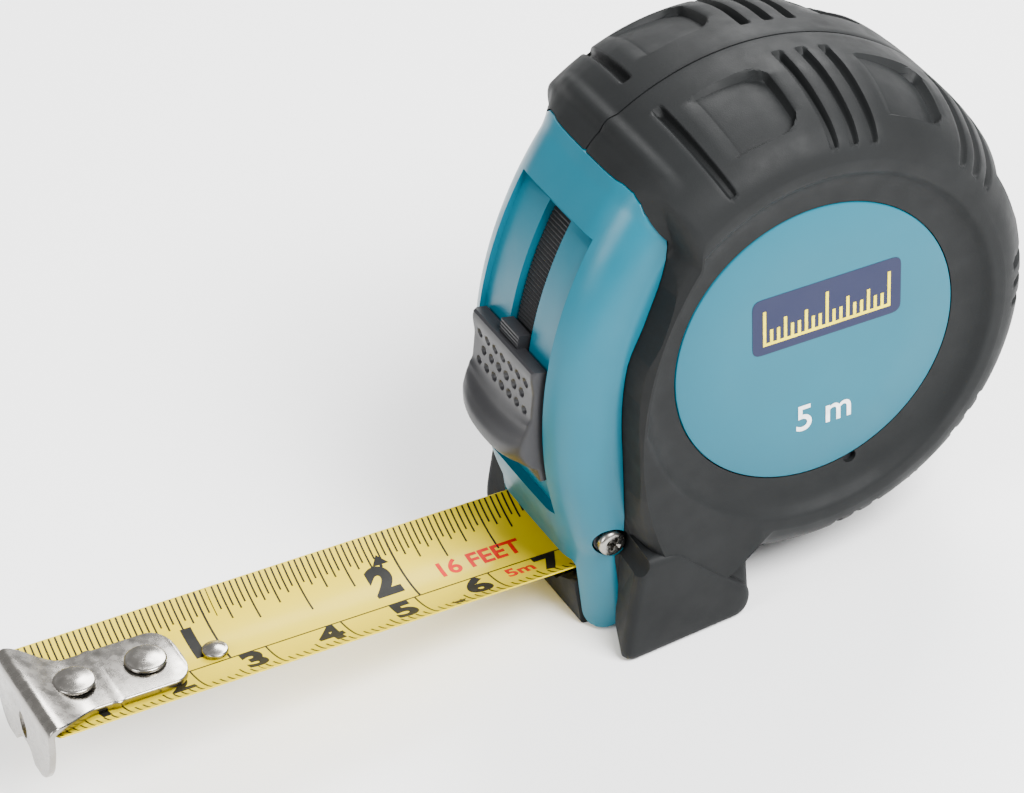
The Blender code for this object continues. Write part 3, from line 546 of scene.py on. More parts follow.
def relief(degrees, y):
    """Depth of the grooves and panels of the grip."""
    turn = degrees % 360
    depth = 0.0
    for centre, start in groove_centres():
        off = abs(turn - centre) * math.radians(1) * RIM_RADIUS
        if off < 2 * GROOVE_HALF:
            ends = ease(y, start - 0.2, start + 0.7) * (1 - ease(y, GROOVE_SPAN[1] - 0.8, GROOVE_SPAN[1]))
            depth = max(depth, GROOVE_DEEP * (1 - ease(off, GROOVE_HALF * 0.45, GROOVE_HALF * 1.15)) * ends)
    for centre in PANEL_ANGLES:
        along = (turn - centre) * math.radians(1) * RIM_RADIUS
        if abs(along) < PANEL_HALF + 0.5:
            middle = sum(PANEL_SPAN) / 2
            half = (PANEL_SPAN[1] - PANEL_SPAN[0]) / 2
            corner = max(0.0, along - (PANEL_HALF - 3.0)) / 3.0
            side = half - 1.6 * corner ** 2.5
            mask = 1 - ease(abs(y - middle), side - 0.3, side + 0.3)
            mask *= 1 - ease(along, PANEL_HALF - 0.3, PANEL_HALF + 0.3)
            slope = min(1.0, max(0.0, (along + PANEL_HALF) / (2 * PANEL_HALF)))
            depth = max(depth, PANEL_DEEP * (0.34 + 0.66 * slope) * mask)
    off = abs(degrees - CREST_ANGLE) / CREST_WIDE
    if off < 1:
        depth -= CREST_RISE * (1 - ease(off, 0.1, 1.0)) * (1 - ease(y, 12.0, 15.5))
    return depth


def case_angles(step=2.0, fine=True):
    """Angles of the corners of each ring, closer together where the outline turns."""
    angles = set(spread(-180, 180 - step, int(360 / step)))
    angles |= set(spread(-60, -36, 25))
    angles |= set(spread(48, 66, 37))
    if fine:
        for centre, _ in groove_centres():
            centre = (centre + 180) % 360 - 180
            for off in (0, 0.45, 0.8, 1.05, 1.3, 1.7):
                angles |= {centre - off, centre + off}
        for centre in PANEL_ANGLES:
            centre = (centre + 180) % 360 - 180
            for off in (6.4, 6.9, 7.2, 7.5, 7.8, 8.1, 8.4):
                angles |= {centre - off, centre + off}
    kept = []
    for angle in sorted(angles):
        if angle >= 180 or angle < -180:
            continue
        if not kept or angle - kept[-1] > 0.12:
            kept.append(angle)
    return kept


def case_ring(y, inset, angles, stretch=1.0, carved=False):
    """One ring of the case skin."""
    ring = []
    for degrees in angles:
        reach = case_reach(degrees, abs(y) * stretch, inset)
        if carved:
            reach -= relief(degrees, abs(y))
        turn = math.radians(degrees)
        ring.append((reach * math.cos(turn), y, AXIS_Z + reach * math.sin(turn)))
    return ring


def round_ring(radius, y, angles):
    """Round ring with the corner count of the case, held inside the front."""
    ring = []
    for degrees in angles:
        turn = math.radians(degrees)
        reach = min(radius, case_reach(degrees, CASE_SIDE, 0.35))
        ring.append((reach * math.cos(turn), y, AXIS_Z + reach * math.sin(turn)))
    return ring


def arc_points(radius, low, high, steps=40):
    """Points on a circle round the front centre."""
    return [front_point(radius, math.radians(turn)) for turn in spread(low, high, steps + 1)]


def front_point(radius, turn):
    """X and Z of a point round the front centre."""
    return (FRONT_CENTRE[0] + radius * math.cos(turn), FRONT_CENTRE[1] + radius * math.sin(turn))


def arc_block(name, inner, outer, low, high, half, steps=40):
    """Curved bar round the front centre."""
    outline = arc_points(outer, low, high, steps) + arc_points(inner, high, low, steps)
    return prism_y(name, outline, -half, half)


# ---------------------------------------------------------------- grip

FOOT_OUTLINE = [(13.4, 0.0), (30.7, 0.0), (30.2, 3.0), (26.8, 14.4), (22.0, 14.0), (12.3, 3.1)]
FOOT_ROOT = [(10.5, 1.5), (28.6, 0.6), (28.4, 3.0), (26.6, 15.0), (21.0, 18.0), (9.5, 8.0)]


def build_foot():
    """Foot beside the mouth, with soft corners and a domed side."""
    centre = Vector((22.0, 6.0))
    main = rounded(FOOT_OUTLINE, 1.5, 6)
    stages = [(rounded(FOOT_ROOT, 1.5, 6), 12.6), (main, 17.9)]
    for share, y in ((0.992, 18.35), (0.975, 18.75), (0.945, 19.05), (0.90, 19.24), (0.84, 19.3)):
        stages.append(([tuple(centre + (Vector(p) - centre) * share) for p in main], y))
    return loft("foot", [[(x, y, z) for x, z in outline] for outline, y in stages])


def build_grip(name):
    """Left rubber half of the case, carved with its grooves and panels."""
    angles = case_angles()
    heights = [PARTING, 0.45, 1.2] + spread(2.0, 18.4, 56) + [18.65, 18.85, 18.95, 19.0]
    rings = [case_ring(y, 0.0, angles, carved=True) for y in heights]
    rings[0] = case_ring(PARTING, 0.12, angles, carved=True)
    for radius in (25.4, 24.4, 24.15, 23.95, 23.7, 23.5, 23.1, 22.7, 22.0, 21.4, 20.5, 19.7):
        rings.append(round_ring(radius, table(RING_PROFILE, radius), angles))
    grip = loft(name, rings)
    combine(grip, build_foot(), "UNION")
    coarse = case_angles(6.0, False)
    stretch = CASE_SIDE / GRIP_INNER_SIDE
    core = [case_ring(y, GRIP_THICK, coarse, stretch) for y in (-2, 6, 10, 12, 14, 15.5, GRIP_INNER_SIDE)]
    combine(grip, loft("core", core))
    combine(grip, rod_y("label_space", (0, AXIS_Z), LABEL_RADIUS + 0.12, 14, 25, 160))
    opening = smooth_edge() + [(45, 15.2), (45, 80), (26, 75)]
    space = prism_y("cover_space", opening, -2, 25)
    shoulder = [(y + GAP, z + GAP) for y, z in COVER_SHOULDER]
    view = [(-3, -3), (-3, COVER_TOP + GAP)] + shoulder + [(26, COVER_SHOULDER[-1][1]), (26, -3)]
    combine(space, prism_x("shoulder", view, 5, 46), "INTERSECT")
    combine(grip, space)
    combine(grip, box("tongue_space", (25.9, -2, -2), (45, TONGUE[1] + 0.1, 15.3)))
    for x in (15.2, 17.4, 19.6, 21.8, 24.0):
        combine(grip, rod_y("tread", (x, -0.5), 0.85, 14.5, 22, 20))
    combine(grip, rod_y("screw_space", SCREW_PLACE, 2.2, 5, 25, 40))
    combine(grip, rod_y("label_notch", (-3.3, AXIS_Z - 19.2), 0.9, 14, 25, 24))
    shade(grip, 32)
    return grip


def smooth_edge():
    """Side edge of the cover as a curve through its points."""
    profile = sorted((z, x) for x, z in COVER_EDGE)
    return [(table(profile, z), z) for z in spread(COVER_EDGE[0][1], COVER_EDGE[-1][1], 40)]


# ---------------------------------------------------------------- front cover

def cover_front_outline():
    """Front view of the cover: a shield with a round-ended tongue each side of the mouth."""
    half = [(0, COVER_TOP)] + COVER_SHOULDER + [(14.3, 15.3), (TONGUE[1], 13.6), (TONGUE[1], 2.6)]
    middle = (TONGUE[0] + TONGUE[1]) / 2
    wide = (TONGUE[1] - TONGUE[0]) / 2
    for turn in spread(0, math.pi, 13):
        half.append((middle + wide * math.cos(turn), 2.4 - 1.9 * math.sin(turn)))
    half += [(TONGUE[0], MOUTH_TOP - 0.6), (9.0, MOUTH_TOP), (0, MOUTH_TOP)]
    other = [(-y, z) for y, z in reversed(half[1:-1])]
    return half[:-1] + other


def build_cover():
    """Front cover with the sunken track and slot of the lock."""
    angles = case_angles(1.5, False)
    heights = spread(0.01, 13.0, 20) + [13.4, 13.7, 14.0, 14.15, 14.3, 16.0, 19.0]
    rows = [-y for y in reversed(heights)] + heights
    cover = loft("front_cover_moulded", [case_ring(y, 0.0, angles) for y in rows])
    stretch = CASE_SIDE / GRIP_INNER_SIDE
    inner = [-16.6, -14, -12, -10, -6, 6, 10, 12, 14, 16.6]
    coarse = case_angles(6.0, False)
    combine(cover, loft("back", [case_ring(y, COVER_THICK, coarse, stretch) for y in inner]))
    edge = [(x + GAP, z) for x, z in smooth_edge()]
    foot = COVER_EDGE[-1][0] + GAP
    edge[-1] = (foot, 15.5)
    side_view = edge + [(foot, -1), (45, -1), (45, 78), (26.0, 74.65)]
    combine(cover, prism_y("side_view", side_view, -COVER_HALF, COVER_HALF), "INTERSECT")
    combine(cover, prism_x("front_view", cover_front_outline(), 5, 45), "INTERSECT")
    combine(cover, arc_block("track", TRACK_RADIUS, 60, *TRACK_RANGE, TRACK_HALF))
    combine(cover, arc_block("slot", 40, 60, *SLOT_RANGE, SLOT_HALF))
    combine(cover, arc_block("slide_space", 40, SPINE_TOP + 0.25, -16.0, 47.0, SLOT_HALF))
    combine(cover, rod_y("notch", SCREW_PLACE, 2.15, 5.5, 20, 40))
    combine(cover, rod_y("notch", SCREW_PLACE, 2.15, -20, -5.5, 40))
    soften(cover, 0.22, 42, 2)
    return cover


def build_bumper():
    """Rubber lip under the mouth."""
    outline = rounded([(26.2, 0), (31.6, 0), (31.8, 7.0), (30.0, 7.0), (30.0, 2.0), (26.2, 2.0)], 0.7, 4)
    lip = prism_y("mouth_bumper_moulded", outline, -9.3, 9.3)
    trough_line = [(-3.6, 3.5), (3.6, 3.5), (5.0, 4.9), (7.4, 6.1), (9.6, 7.6), (9.6, 12), (-9.6, 12),
                   (-9.6, 7.6), (-7.4, 6.1), (-5.0, 4.9)]
    combine(lip, prism_x("trough", trough_line, 25, 40))
    return soften(lip, 0.3, 40, 3)


# ---------------------------------------------------------------- labels

LABEL_TURN = math.radians(-5.0)


def label_point(u, v, face, side):
    """Point on a label: u to the reader's right, v up, both turned with the print."""
    a = u * math.cos(LABEL_TURN) - v * math.sin(LABEL_TURN)
    b = u * math.sin(LABEL_TURN) + v * math.cos(LABEL_TURN)
    return (-side * a, side * face, AXIS_Z + b)


def build_label(name, side):
    """Thin printed disc with a softly rolled edge."""
    profile = [(0, LABEL_BACK), (LABEL_RADIUS, LABEL_BACK), (LABEL_RADIUS, LABEL_FACE - 0.25),
               (LABEL_RADIUS - 0.08, LABEL_FACE - 0.09), (LABEL_RADIUS - 0.25, LABEL_FACE), (12, LABEL_FACE),
               (0, LABEL_FACE)]
    disc = turned(name, [(r, side * y) for r, y in profile], (0, 0, AXIS_Z), (0, 1, 0), 160)
    if side < 0:
        combine(disc, rod_y("clip_hole", CLIP_SCREW, 1.7, -20, -12, 32))
    return disc


def label_plate(name, outline, side, level):
    """Flat printed shape on a label."""
    rings = []
    for face in (LABEL_FACE - 0.02, LABEL_FACE + level):
        rings.append([label_point(u, v, face, side) for u, v in outline])
    return loft(name, rings)


def merge(name, pieces):
    """Join several pieces into one object."""
    work = bmesh.new()
    for piece in pieces:
        work.from_mesh(piece.data)
        bpy.data.objects.remove(piece, do_unlink=True)
    mesh = bpy.data.meshes.new(name)
    work.to_mesh(mesh)
    work.free()
    joined = bpy.data.objects.new(name, mesh)
    bpy.context.scene.collection.objects.link(joined)
    shade(joined, 30)
    return joined


def lettering(text, size, bold, deep, cut_step=None):
    """Mesh of a short text in its own plane, in millimetres, centred on its box."""
    curve = bpy.data.curves.new("lettering", "FONT")
    curve.body = text
    curve.size = size
    curve.offset = bold
    curve.extrude = deep / 2
    curve.resolution_u = 6
    writer = bpy.data.objects.new("lettering", curve)
    bpy.context.scene.collection.objects.link(writer)
    depsgraph = bpy.context.evaluated_depsgraph_get()
    mesh = bpy.data.meshes.new_from_object(writer.evaluated_get(depsgraph))
    bpy.data.objects.remove(writer, do_unlink=True)
    work = bmesh.new()
    work.from_mesh(mesh)
    bmesh.ops.remove_doubles(work, verts=work.verts, dist=1e-5)
    low = [min(v.co[k] for v in work.verts) for k in range(2)]
    high = [max(v.co[k] for v in work.verts) for k in range(2)]
    for vert in work.verts:
        vert.co.x -= (low[0] + high[0]) / 2
        vert.co.y -= (low[1] + high[1]) / 2
    if cut_step:
        height = (high[1] - low[1]) / 2
        level = -height + cut_step
        while level < height:
            geometry = work.verts[:] + work.edges[:] + work.faces[:]
            bmesh.ops.bisect_plane(work, geom=geometry, plane_co=(0, level, 0), plane_no=(0, 1, 0))
            level += cut_step
    bmesh.ops.triangulate(work, faces=[f for f in work.faces if len(f.verts) > 4])
    work.to_mesh(mesh)
    work.free()
    return mesh


def placed(name, mesh, where):
    """Object whose corners are moved by a function of their old place, into metres."""
    for vert in mesh.vertices:
        vert.co = Vector(where(*vert.co)) * MM
    piece = bpy.data.objects.new(name, mesh)
    bpy.context.scene.collection.objects.link(piece)
    work = bmesh.new()
    work.from_mesh(mesh)
    bmesh.ops.recalc_face_normals(work, faces=work.faces)
    work.to_mesh(mesh)
    work.free()
    return piece


def label_text(name, text, size, centre, side, bold=0.0):
    """Raised print on a label."""
    def where(u, v, w):
        return label_point(centre[0] + u, centre[1] + v, LABEL_FACE + 0.05 + w, side)
    return placed(name, lettering(text, size, bold, 0.06), where)


def dress_label(side, word):
    """Label, navy panel with a plain ruler pattern, and the length of the blade."""
    disc = build_label(word + "_label_disc", side)
    stand_for(disc, "case", label_look(word + "_label"), word + "_label")
    if side < 0:
        return
    slot = word + "_label"
    corners = rounded([(-8.6, 0.6), (11.8, 0.6), (11.8, 8.6), (-8.6, 8.6)], 1.2)
    panel = label_plate(slot + "_panel", corners, side, 0.04)
    stand_for(panel, "case", plastic(slot + "_navy", NAVY, 0.4), slot=slot)
    ticks = []
    for k in range(19):
        u = -6.95 + k * 0.95
        tall = 4.6 if k % 9 == 0 else 3.0 if k % 3 == 0 else 1.8
        corners = [(u - 0.2, 2.2), (u + 0.2, 2.2), (u + 0.2, 2.2 + tall), (u - 0.2, 2.2 + tall)]
        ticks.append(label_plate("tick", corners, side, 0.07))
    ticks.append(label_plate("rule", [(-7.15, 1.8), (10.35, 1.8), (10.35, 2.2), (-7.15, 2.2)], side, 0.07))
    stand_for(merge(slot + "_rule", ticks), "case", ink(slot + "_yellow", (0.9, 0.72, 0.0)), slot=slot)
    length = label_text(slot + "_length", "5 m", 5.2, (1.2, -10.6), side, 0.05)
    stand_for(length, "case", ink(slot + "_white", (0.85, 0.86, 0.86)), slot=slot)


def label_look(name):
    """Smooth printed film of a label."""
    look = Look(name, TEAL, 0.42)
    look.sheen(0.3)
    look.drift(look.noise(10, 3), 0.97, 1.03)
    look.gloss(look.noise(6, 3), 0.04)
    look.bump(look.noise(0.35, 2), 0.05, 0.03)
    return look.material


# ---------------------------------------------------------------- blade

def trough_radius():
    """Radius of the blade's curve, and half its angle."""
    half = 1e-3
    for _ in range(40):
        value = BLADE_WIDTH / 2 * (1 - math.cos(half)) / half - BLADE_RISE
        half -= value / (BLADE_WIDTH / 4)
    return BLADE_WIDTH / 2 / half, half


CURVE_RADIUS, CURVE_HALF = trough_radius()


def blade_frame(s, y, lift):
    """Point on the blade: s back from its end, y across, lift above the middle line."""
    along = BLADE_OUT - s
    x = MOUTH_POINT[0] + along * math.cos(BLADE_TILT) - lift * math.sin(BLADE_TILT)
    z = MOUTH_POINT[1] + along * math.sin(BLADE_TILT) + lift * math.cos(BLADE_TILT)
    return (x, y, z)


def blade_skin(s, across, above, flat=0.0, lift=0.0):
    """Point over the curved blade. Across runs along its skin, and flat is how far it has flattened."""
    radius = CURVE_RADIUS / max(1e-3, 1 - flat)
    turn = across / radius
    y = (radius - above) * math.sin(turn)
    height = radius - (radius - above) * math.cos(turn)
    return blade_frame(s, y, lift + height)


def strip_ring(s, flat=0.0, lift=0.0, width=BLADE_WIDTH, top=0.0, thick=BLADE_THICK, steps=28):
    """Section of the blade with rounded edges."""
    half = width / 2
    across = spread(-half, half, steps + 1)
    upper = [blade_skin(s, a, top, flat, lift) for a in across]
    lower = [blade_skin(s, a, top - thick, flat, lift) for a in across]
    right = blade_skin(s, half + thick * 0.4, top - thick / 2, flat, lift)
    left = blade_skin(s, -half - thick * 0.4, top - thick / 2, flat, lift)
    return upper + [right] + lower[::-1] + [left]


RUN_LENGTH = BLADE_OUT + MOUTH_POINT[0] / math.cos(BLADE_TILT)


def build_blade_end():
    """Stiff end of the blade."""
    stations = [0.6] + spread(1.0, BLADE_END, 20)
    end = loft("blade_end_printed", [strip_ring(s) for s in stations])
    for s, radius in RIVETS:
        hole = turned("hole", [(0, -3), (radius * 0.55 + 0.3, -3), (radius * 0.55 + 0.3, 3), (0, 3)],
                      blade_frame(s, 0, 0), blade_up(), 32)
        combine(end, hole)
    shade(end, 40)
    return end


def blade_up():
    """Direction square to the blade."""
    return (-math.sin(BLADE_TILT), 0, math.cos(BLADE_TILT))


def build_blade_run():
    """Free length between the stiff end and the reel. It flattens as it nears the coil."""
    rings = []
    foot = MOUTH_POINT[1] - MOUTH_POINT[0] * math.tan(BLADE_TILT)
    for s in spread(BLADE_END, RUN_LENGTH, 60):
        flat = ease(s, BLADE_OUT + 2, RUN_LENGTH - 4)
        lift = ease(s, BLADE_OUT + 4, RUN_LENGTH) * (AXIS_Z - COIL_RADIUS - 0.45 - foot)
        rings.append(strip_ring(s, flat, lift))
    return loft("blade_run_printed", rings, 40)


def mark(s0, s1, a0, a1):
    """Thin printed bar on the blade, between two stations and two places across it."""
    steps = max(1, int(abs(a1 - a0) / 0.7))
    rings = []
    for a in spread(a0, a1, steps + 1):
        rings.append([blade_skin(s, a, above) for s, above in
                      ((s0, 0.004), (s1, 0.004), (s1, 0.022), (s0, 0.022))])
    return loft("mark", rings)


def arrow(s, a_base, a_tip, half):
    """Small printed triangle."""
    rings = []
    for t in spread(0, 0.96, 5):
        a = a_base + (a_tip - a_base) * t
        wide = half * (1 - t)
        rings.append([blade_skin(s + k * wide, a, above) for k, above in
                      ((-1, 0.004), (1, 0.004), (1, 0.022), (-1, 0.022))])
    return loft("arrow", rings)


EDGE = BLADE_WIDTH / 2
PRINT_LINE = 1.9
INCH = 25.4
INCH_TICKS = {1: 3.3, 2: 4.0, 4: 5.0, 8: 6.2, 16: 7.6}


def inch_tick_length(k):
    """Length of the mark at k thirty-seconds of an inch."""
    if k % 32 == 0:
        return EDGE + PRINT_LINE
    size = 1
    while size < 16 and k % (size * 2) == 0:
        size *= 2
    return INCH_TICKS[size]


def blade_text(text, size, s, across, bold):
    """Printed figure. It reads along the blade from the hook towards the case."""
    def where(u, v, w):
        return blade_skin(s + u, across - v, 0.014 + w)
    return placed("figure", lettering(text, size, bold, 0.02, 0.6), where)


def scale_marks(low, high):
    """All the marks and figures whose place lies between two stations, as (black, red) lists."""
    black = [mark(max(low, 1.2), high, PRINT_LINE - 0.11, PRINT_LINE + 0.11)]
    red = []
    for k in range(1, int(BLADE_OUT * 32 / INCH) + 4):
        s = k * INCH / 32
        if low <= s < high:
            thick = 0.12 if k % 32 else 0.14
            black.append(mark(s - thick, min(high, s + thick), -EDGE + 0.05, -EDGE + inch_tick_length(k)))
    for k in range(1, int(BLADE_OUT) + 3):
        s = float(k)
        if low <= s < high:
            length = EDGE - PRINT_LINE if k % 10 == 0 else 4.0 if k % 5 == 0 else 2.8
            black.append(mark(max(low, s - 0.11), s + 0.11, EDGE - length, EDGE - 0.05))
    for k in (1, 2):
        if low <= k * INCH - 3.0 < high:
            black.append(blade_text(str(k), 6.4, k * INCH - 2.9, -2.6, 0.4))
    for k in range(1, 8):
        if low <= k * 10 - 2.3 < high:
            black.append(blade_text(str(k), 6.0, k * 10 - 2.4, 4.2, 0.3))
    if low <= 2 * INCH < high:
        black.append(arrow(2 * INCH - 2.0, -5.2, -6.7, 1.1))
        black.append(mark(2 * INCH - 2.2, 2 * INCH - 1.8, -5.25, -4.8))
        black.append(arrow(53.6, 7.0, 8.6, 1.1))
        red.append(blade_text("16 FEET", 3.5, 60.6, -1.4, 0.1))
        red.append(blade_text("5m", 3.0, 63.6, 3.7, 0.09))
    return black, red


def build_backing():
    """Narrow stiffener under the end of the blade."""
    stations = spread(3.0, BLADE_END - 0.4, 6)
    rings = [strip_ring(s, 0.15, 0.0, 9.0, -BLADE_THICK - 0.3, 0.25, 10) for s in stations]
    return loft("blade_backing_strip", rings)


# ---------------------------------------------------------------- hook and rivets

def edge_rise(y):
    """Height of the blade at y above its middle."""
    return CURVE_RADIUS - math.sqrt(CURVE_RADIUS ** 2 - y ** 2)


def hook_half_width(s):
    """Half width of the hook plate at a distance back from its leg."""
    if s > HOOK_LENGTH - 2.6:
        back = (s - (HOOK_LENGTH - 2.6)) / 2.6
        return TONGUE_HALF * (0.30 + 0.70 * math.sqrt(max(0.0, 1 - back * back)))
    burr = 0.3 * max(0.0, 1 - abs(s - 9.6) / 0.7) ** 0.5 if abs(s - 9.6) < 0.7 else 0.0
    return burr + TONGUE_HALF + (HOOK_HALF - TONGUE_HALF) * (1 - ease(s, 0.2, 6.8))


def hook_height(s):
    """Upper face of the hook plate, which lies across the curve of the blade."""
    half = TONGUE_HALF + (HOOK_HALF - TONGUE_HALF) * (1 - ease(s, 0.2, 6.8))
    return edge_rise(half) + 0.32 + HOOK_THICK


def hook_path():
    """(s, lift, half width, turn) along the hook, from the tongue's end to the foot of the leg."""
    stations = [HOOK_LENGTH - v for v in (0, 0.12, 0.35, 0.7, 1.1, 1.6, 2.1, 2.6)]
    stations += spread(16.4, 0.8, 60)
    path = [(s, hook_height(s), hook_half_width(s), 0.0) for s in stations]
    fold = hook_height(0.0)
    radius = 1.5
    for turn in spread(6, 90, 14):
        angle = math.radians(turn)
        path.append((0.6 - radius * math.sin(angle), fold - radius * (1 - math.cos(angle)), HOOK_HALF, angle))
    leg = [(1.6, 8.7), (3.5, 8.65), (5.0, 8.35), (6.5, 7.85), (7.8, 7.1), (8.6, 6.4), (9.0, 5.8), (9.2, 5.2)]
    for drop in spread(1.8, 8.4, 14) + [8.7, 8.9, 9.05, LEG_DROP]:
        path.append((0.6 - radius, fold - drop, table(leg, drop), math.pi / 2))
    return path


def rounded_section(half, thick, radius=0.26, steps=4):
    """(depth, across) round a flat bar with rounded edges."""
    points = []
    for depth, y, start in ((radius, half - radius, 0.0), (radius, -half + radius, 90.0),
                            (thick - radius, -half + radius, 180.0), (thick - radius, half - radius, 270.0)):
        for k in range(steps + 1):
            turn = math.radians(start + 90.0 * k / steps)
            points.append((depth - radius * math.sin(turn), y + radius * math.cos(turn)))
    return points


def build_hook():
    """Steel end hook: plate with a play slot, fold, and notched leg with a nail hole."""
    rings = []
    for s, lift, half, turn in hook_path():
        ns, nl = -math.sin(turn), math.cos(turn)
        ring = []
        for depth, y in rounded_section(half, HOOK_THICK):
            ring.append(blade_frame(s - ns * depth, y, lift - nl * depth))
        rings.append(ring)
    hook = loft("end_hook_plated", rings, 30)
    for s, _ in RIVETS[:2]:
        slot = [(s + 2.1 * math.cos(t) * (1.0 if math.cos(t) > 0 else 1.15), 2.0 * math.sin(t))
                for t in spread(0, 2 * math.pi * 31 / 32, 32)]
        combine(hook, blade_prism("slot", slot, 0.2, 5.0))
    bottom = hook_height(0.0) - LEG_DROP
    corners = [(3.5, bottom - 1), (1.5, bottom + 2.0), (-1.5, bottom + 2.0), (-3.5, bottom - 1)]
    notch = rounded(corners, 0.9, 5)
    combine(hook, leg_prism("leg_notch", notch))
    nail = []
    for t in spread(0, 2 * math.pi * 31 / 32, 32):
        a, b = 0.95 * math.cos(t), 1.75 * math.sin(t)
        lean = math.radians(18)
        lift = bottom + 4.1 + a * math.sin(lean) + b * math.cos(lean)
        nail.append((a * math.cos(lean) - b * math.sin(lean), lift))
    combine(hook, leg_prism("nail_hole", nail))
    shade(hook, 32)
    return hook


def blade_prism(name, outline, low, high):
    """Outline along and across the blade, run square to it."""
    return loft(name, [[blade_frame(s, y, lift) for s, y in outline] for lift in (low, high)])


def leg_prism(name, outline):
    """Outline across and down the hook's leg, run through it."""
    return loft(name, [[blade_frame(s, y, lift) for y, lift in outline] for s in (-4.0, 3.0)])


def build_rivet(name, s, radius, seat):
    """Low domed head with a rolled rim, shank, and upset tail."""
    shank = radius * 0.55
    tail = -BLADE_THICK - 0.85
    profile = [(0, tail - 0.3), (radius * 0.6, tail - 0.3), (radius * 0.74, tail - 0.15),
               (radius * 0.78, tail), (shank, tail), (shank, seat), (radius * 0.96, seat),
               (radius, seat + 0.08), (radius, seat + 0.22)]
    for turn in spread(0, 90, 12):
        angle = math.radians(turn)
        profile.append((radius * (0.86 + 0.14 * math.cos(angle)), seat + 0.22 + 0.26 * math.sin(angle)))
    for share in (0.7, 0.5, 0.3, 0.12):
        profile.append((radius * share, seat + 0.48 + 0.30 * (1 - (share / 0.86) ** 2)))
    profile.append((0, seat + 0.78))
    return turned(name, profile, blade_frame(s, 0, 0), blade_up(), 56)


# ---------------------------------------------------------------- lock

BUTTON_SHAPE = [(0.0, 1.9), (0.8, 1.95), (4.0, 1.45), (7.5, 1.55), (10.0, 2.25), (12.0, 3.5),
                (13.2, 4.15), (14.2, 4.3), (15.2, 3.8), (16.4, 2.6), (17.4, 1.5), (18.0, 1.0)]
DIMPLE_ROWS = [2.7, 4.9, 7.1]


def dimple(drop, y):
    """Depth of the grip dimples at a place on the button."""
    for n, row in enumerate(DIMPLE_ROWS):
        along = (drop - row) * math.radians(1) * 51.5
        if abs(along) > 0.75:
            continue
        count = 7 if n % 2 == 0 else 6
        for k in range(count):
            centre = (k - (count - 1) / 2) * 2.0
            off = math.hypot(along, y - centre)
            if off < 0.62:
                return 0.5 * (1 - (off / 0.62) ** 3)
    return 0.0


def build_button():
    """Thumb button: a plate in the track, a scooped dimpled face, and a lip at its lower end."""
    bottom = TRACK_RADIUS + 0.3
    chamfers = [(0.0, 0.45), (0.06, 0.22), (0.18, 0.08), (0.4, 0.0)]
    stations = [(-LOCK_HALF + inward, chamfer) for inward, chamfer in chamfers]
    stations += [(y, 0.0) for y in spread(-LOCK_HALF + 0.6, LOCK_HALF - 0.6, 76)]
    stations += [(-y, c) for y, c in reversed(stations[:4])]
    drops = [0.0, 0.12, 0.3] + spread(0.5, 18.0, 90)
    rows = []
    for y, chamfer in stations:
        edge = abs(y / LOCK_HALF)
        ring = []
        for drop in drops:
            height = table(BUTTON_SHAPE, drop)
            lip = max(0.0, height - 2.0)
            level = min(height, 2.0) + lip * (1 - 0.62 * edge ** 3.5)
            level -= dimple(drop, y) + chamfer + 0.25 * max(0.0, 1 - drop / 0.3)
            rise = 1.8 * edge ** 2 * ease(drop, 6, 12)
            turn = LOCK_TOP - drop
            turn = min(LOCK_TOP, turn + rise * (drop < 18.0))
            x, z = front_point(bottom + max(0.1, level), math.radians(turn))
            ring.append((x, y, z))
        for k in range(7):
            turn = LOCK_BOTTOM + (LOCK_TOP - LOCK_BOTTOM) * k / 6
            x, z = front_point(bottom, math.radians(turn))
            ring.append((x, y, z))
        rows.append(ring)
    button = loft("lock_button_moulded", rows)
    outline = []
    for k, turn in enumerate(spread(LOCK_TOP - 1, LOCK_TOP + 2.0, 25)):
        top = TRACK_RADIUS + 1.5 - (0.12 if k % 4 < 2 else 0.0)
        outline.append(front_point(top, math.radians(turn)))
    outline += arc_points(TRACK_RADIUS - 0.2, LOCK_TOP + 2.0, LOCK_TOP - 1, 8)
    combine(button, prism_y("boss", outline, -2.3, 2.3), "UNION")
    shade(button, 38)
    return button


def build_strip():
    """Curved slide behind the cover, with the fine ribs of its spine showing in the slot."""
    strip = arc_block("lock_strip_ribbed", 47.5, 48.3, -16.0, 36.5, 4.6, 48)
    outline = []
    for k, turn in enumerate(spread(-11.5, 35.2, 150)):
        outline.append(front_point(SPINE_TOP - (0.2 if k % 2 else 0.0), math.radians(turn)))
    outline += arc_points(48.0, 35.2, -11.5, 48)
    combine(strip, prism_y("spine", outline, -SLOT_HALF + 0.3, SLOT_HALF - 0.3), "UNION")
    shade(strip, 20)
    return strip


# ---------------------------------------------------------------- screws and clip

def build_screw(name, centre, face, shank, head_radius, shank_radius, side, lean):
    """Cross-recess pan-head screw along Y."""
    head = 1.3
    profile = [(0, face - shank), (shank_radius, face - shank), (shank_radius, face - head),
               (head_radius * 0.97, face - head), (head_radius, face - head + 0.12),
               (head_radius, face - 0.5), (head_radius * 0.95, face - 0.28),
               (head_radius * 0.82, face - 0.08), (head_radius * 0.6, face), (0, face)]
    place = (centre[0], 0, centre[1])
    screw = turned(name, [(r, side * v) for r, v in profile], place, (0, 1, 0), 48)
    reach = head_radius * 0.66
    for turn in (math.radians(lean), math.radians(lean + 90)):
        ux, uz = math.cos(turn), math.sin(turn)
        rings = []
        for y, grow in ((face + 1, 1.15), (face - 0.9, 0.55)):
            ring = []
            for a, b in ((-1, -1), (1, -1), (1, 1), (-1, 1)):
                x = centre[0] + a * reach * grow * ux - b * 0.3 * grow * uz
                z = centre[1] + a * reach * grow * uz + b * 0.3 * grow * ux
                ring.append((x, side * y, z))
            rings.append(ring)
        combine(screw, loft("cross", rings))
    return soften(screw, 0.06, 40, 2)


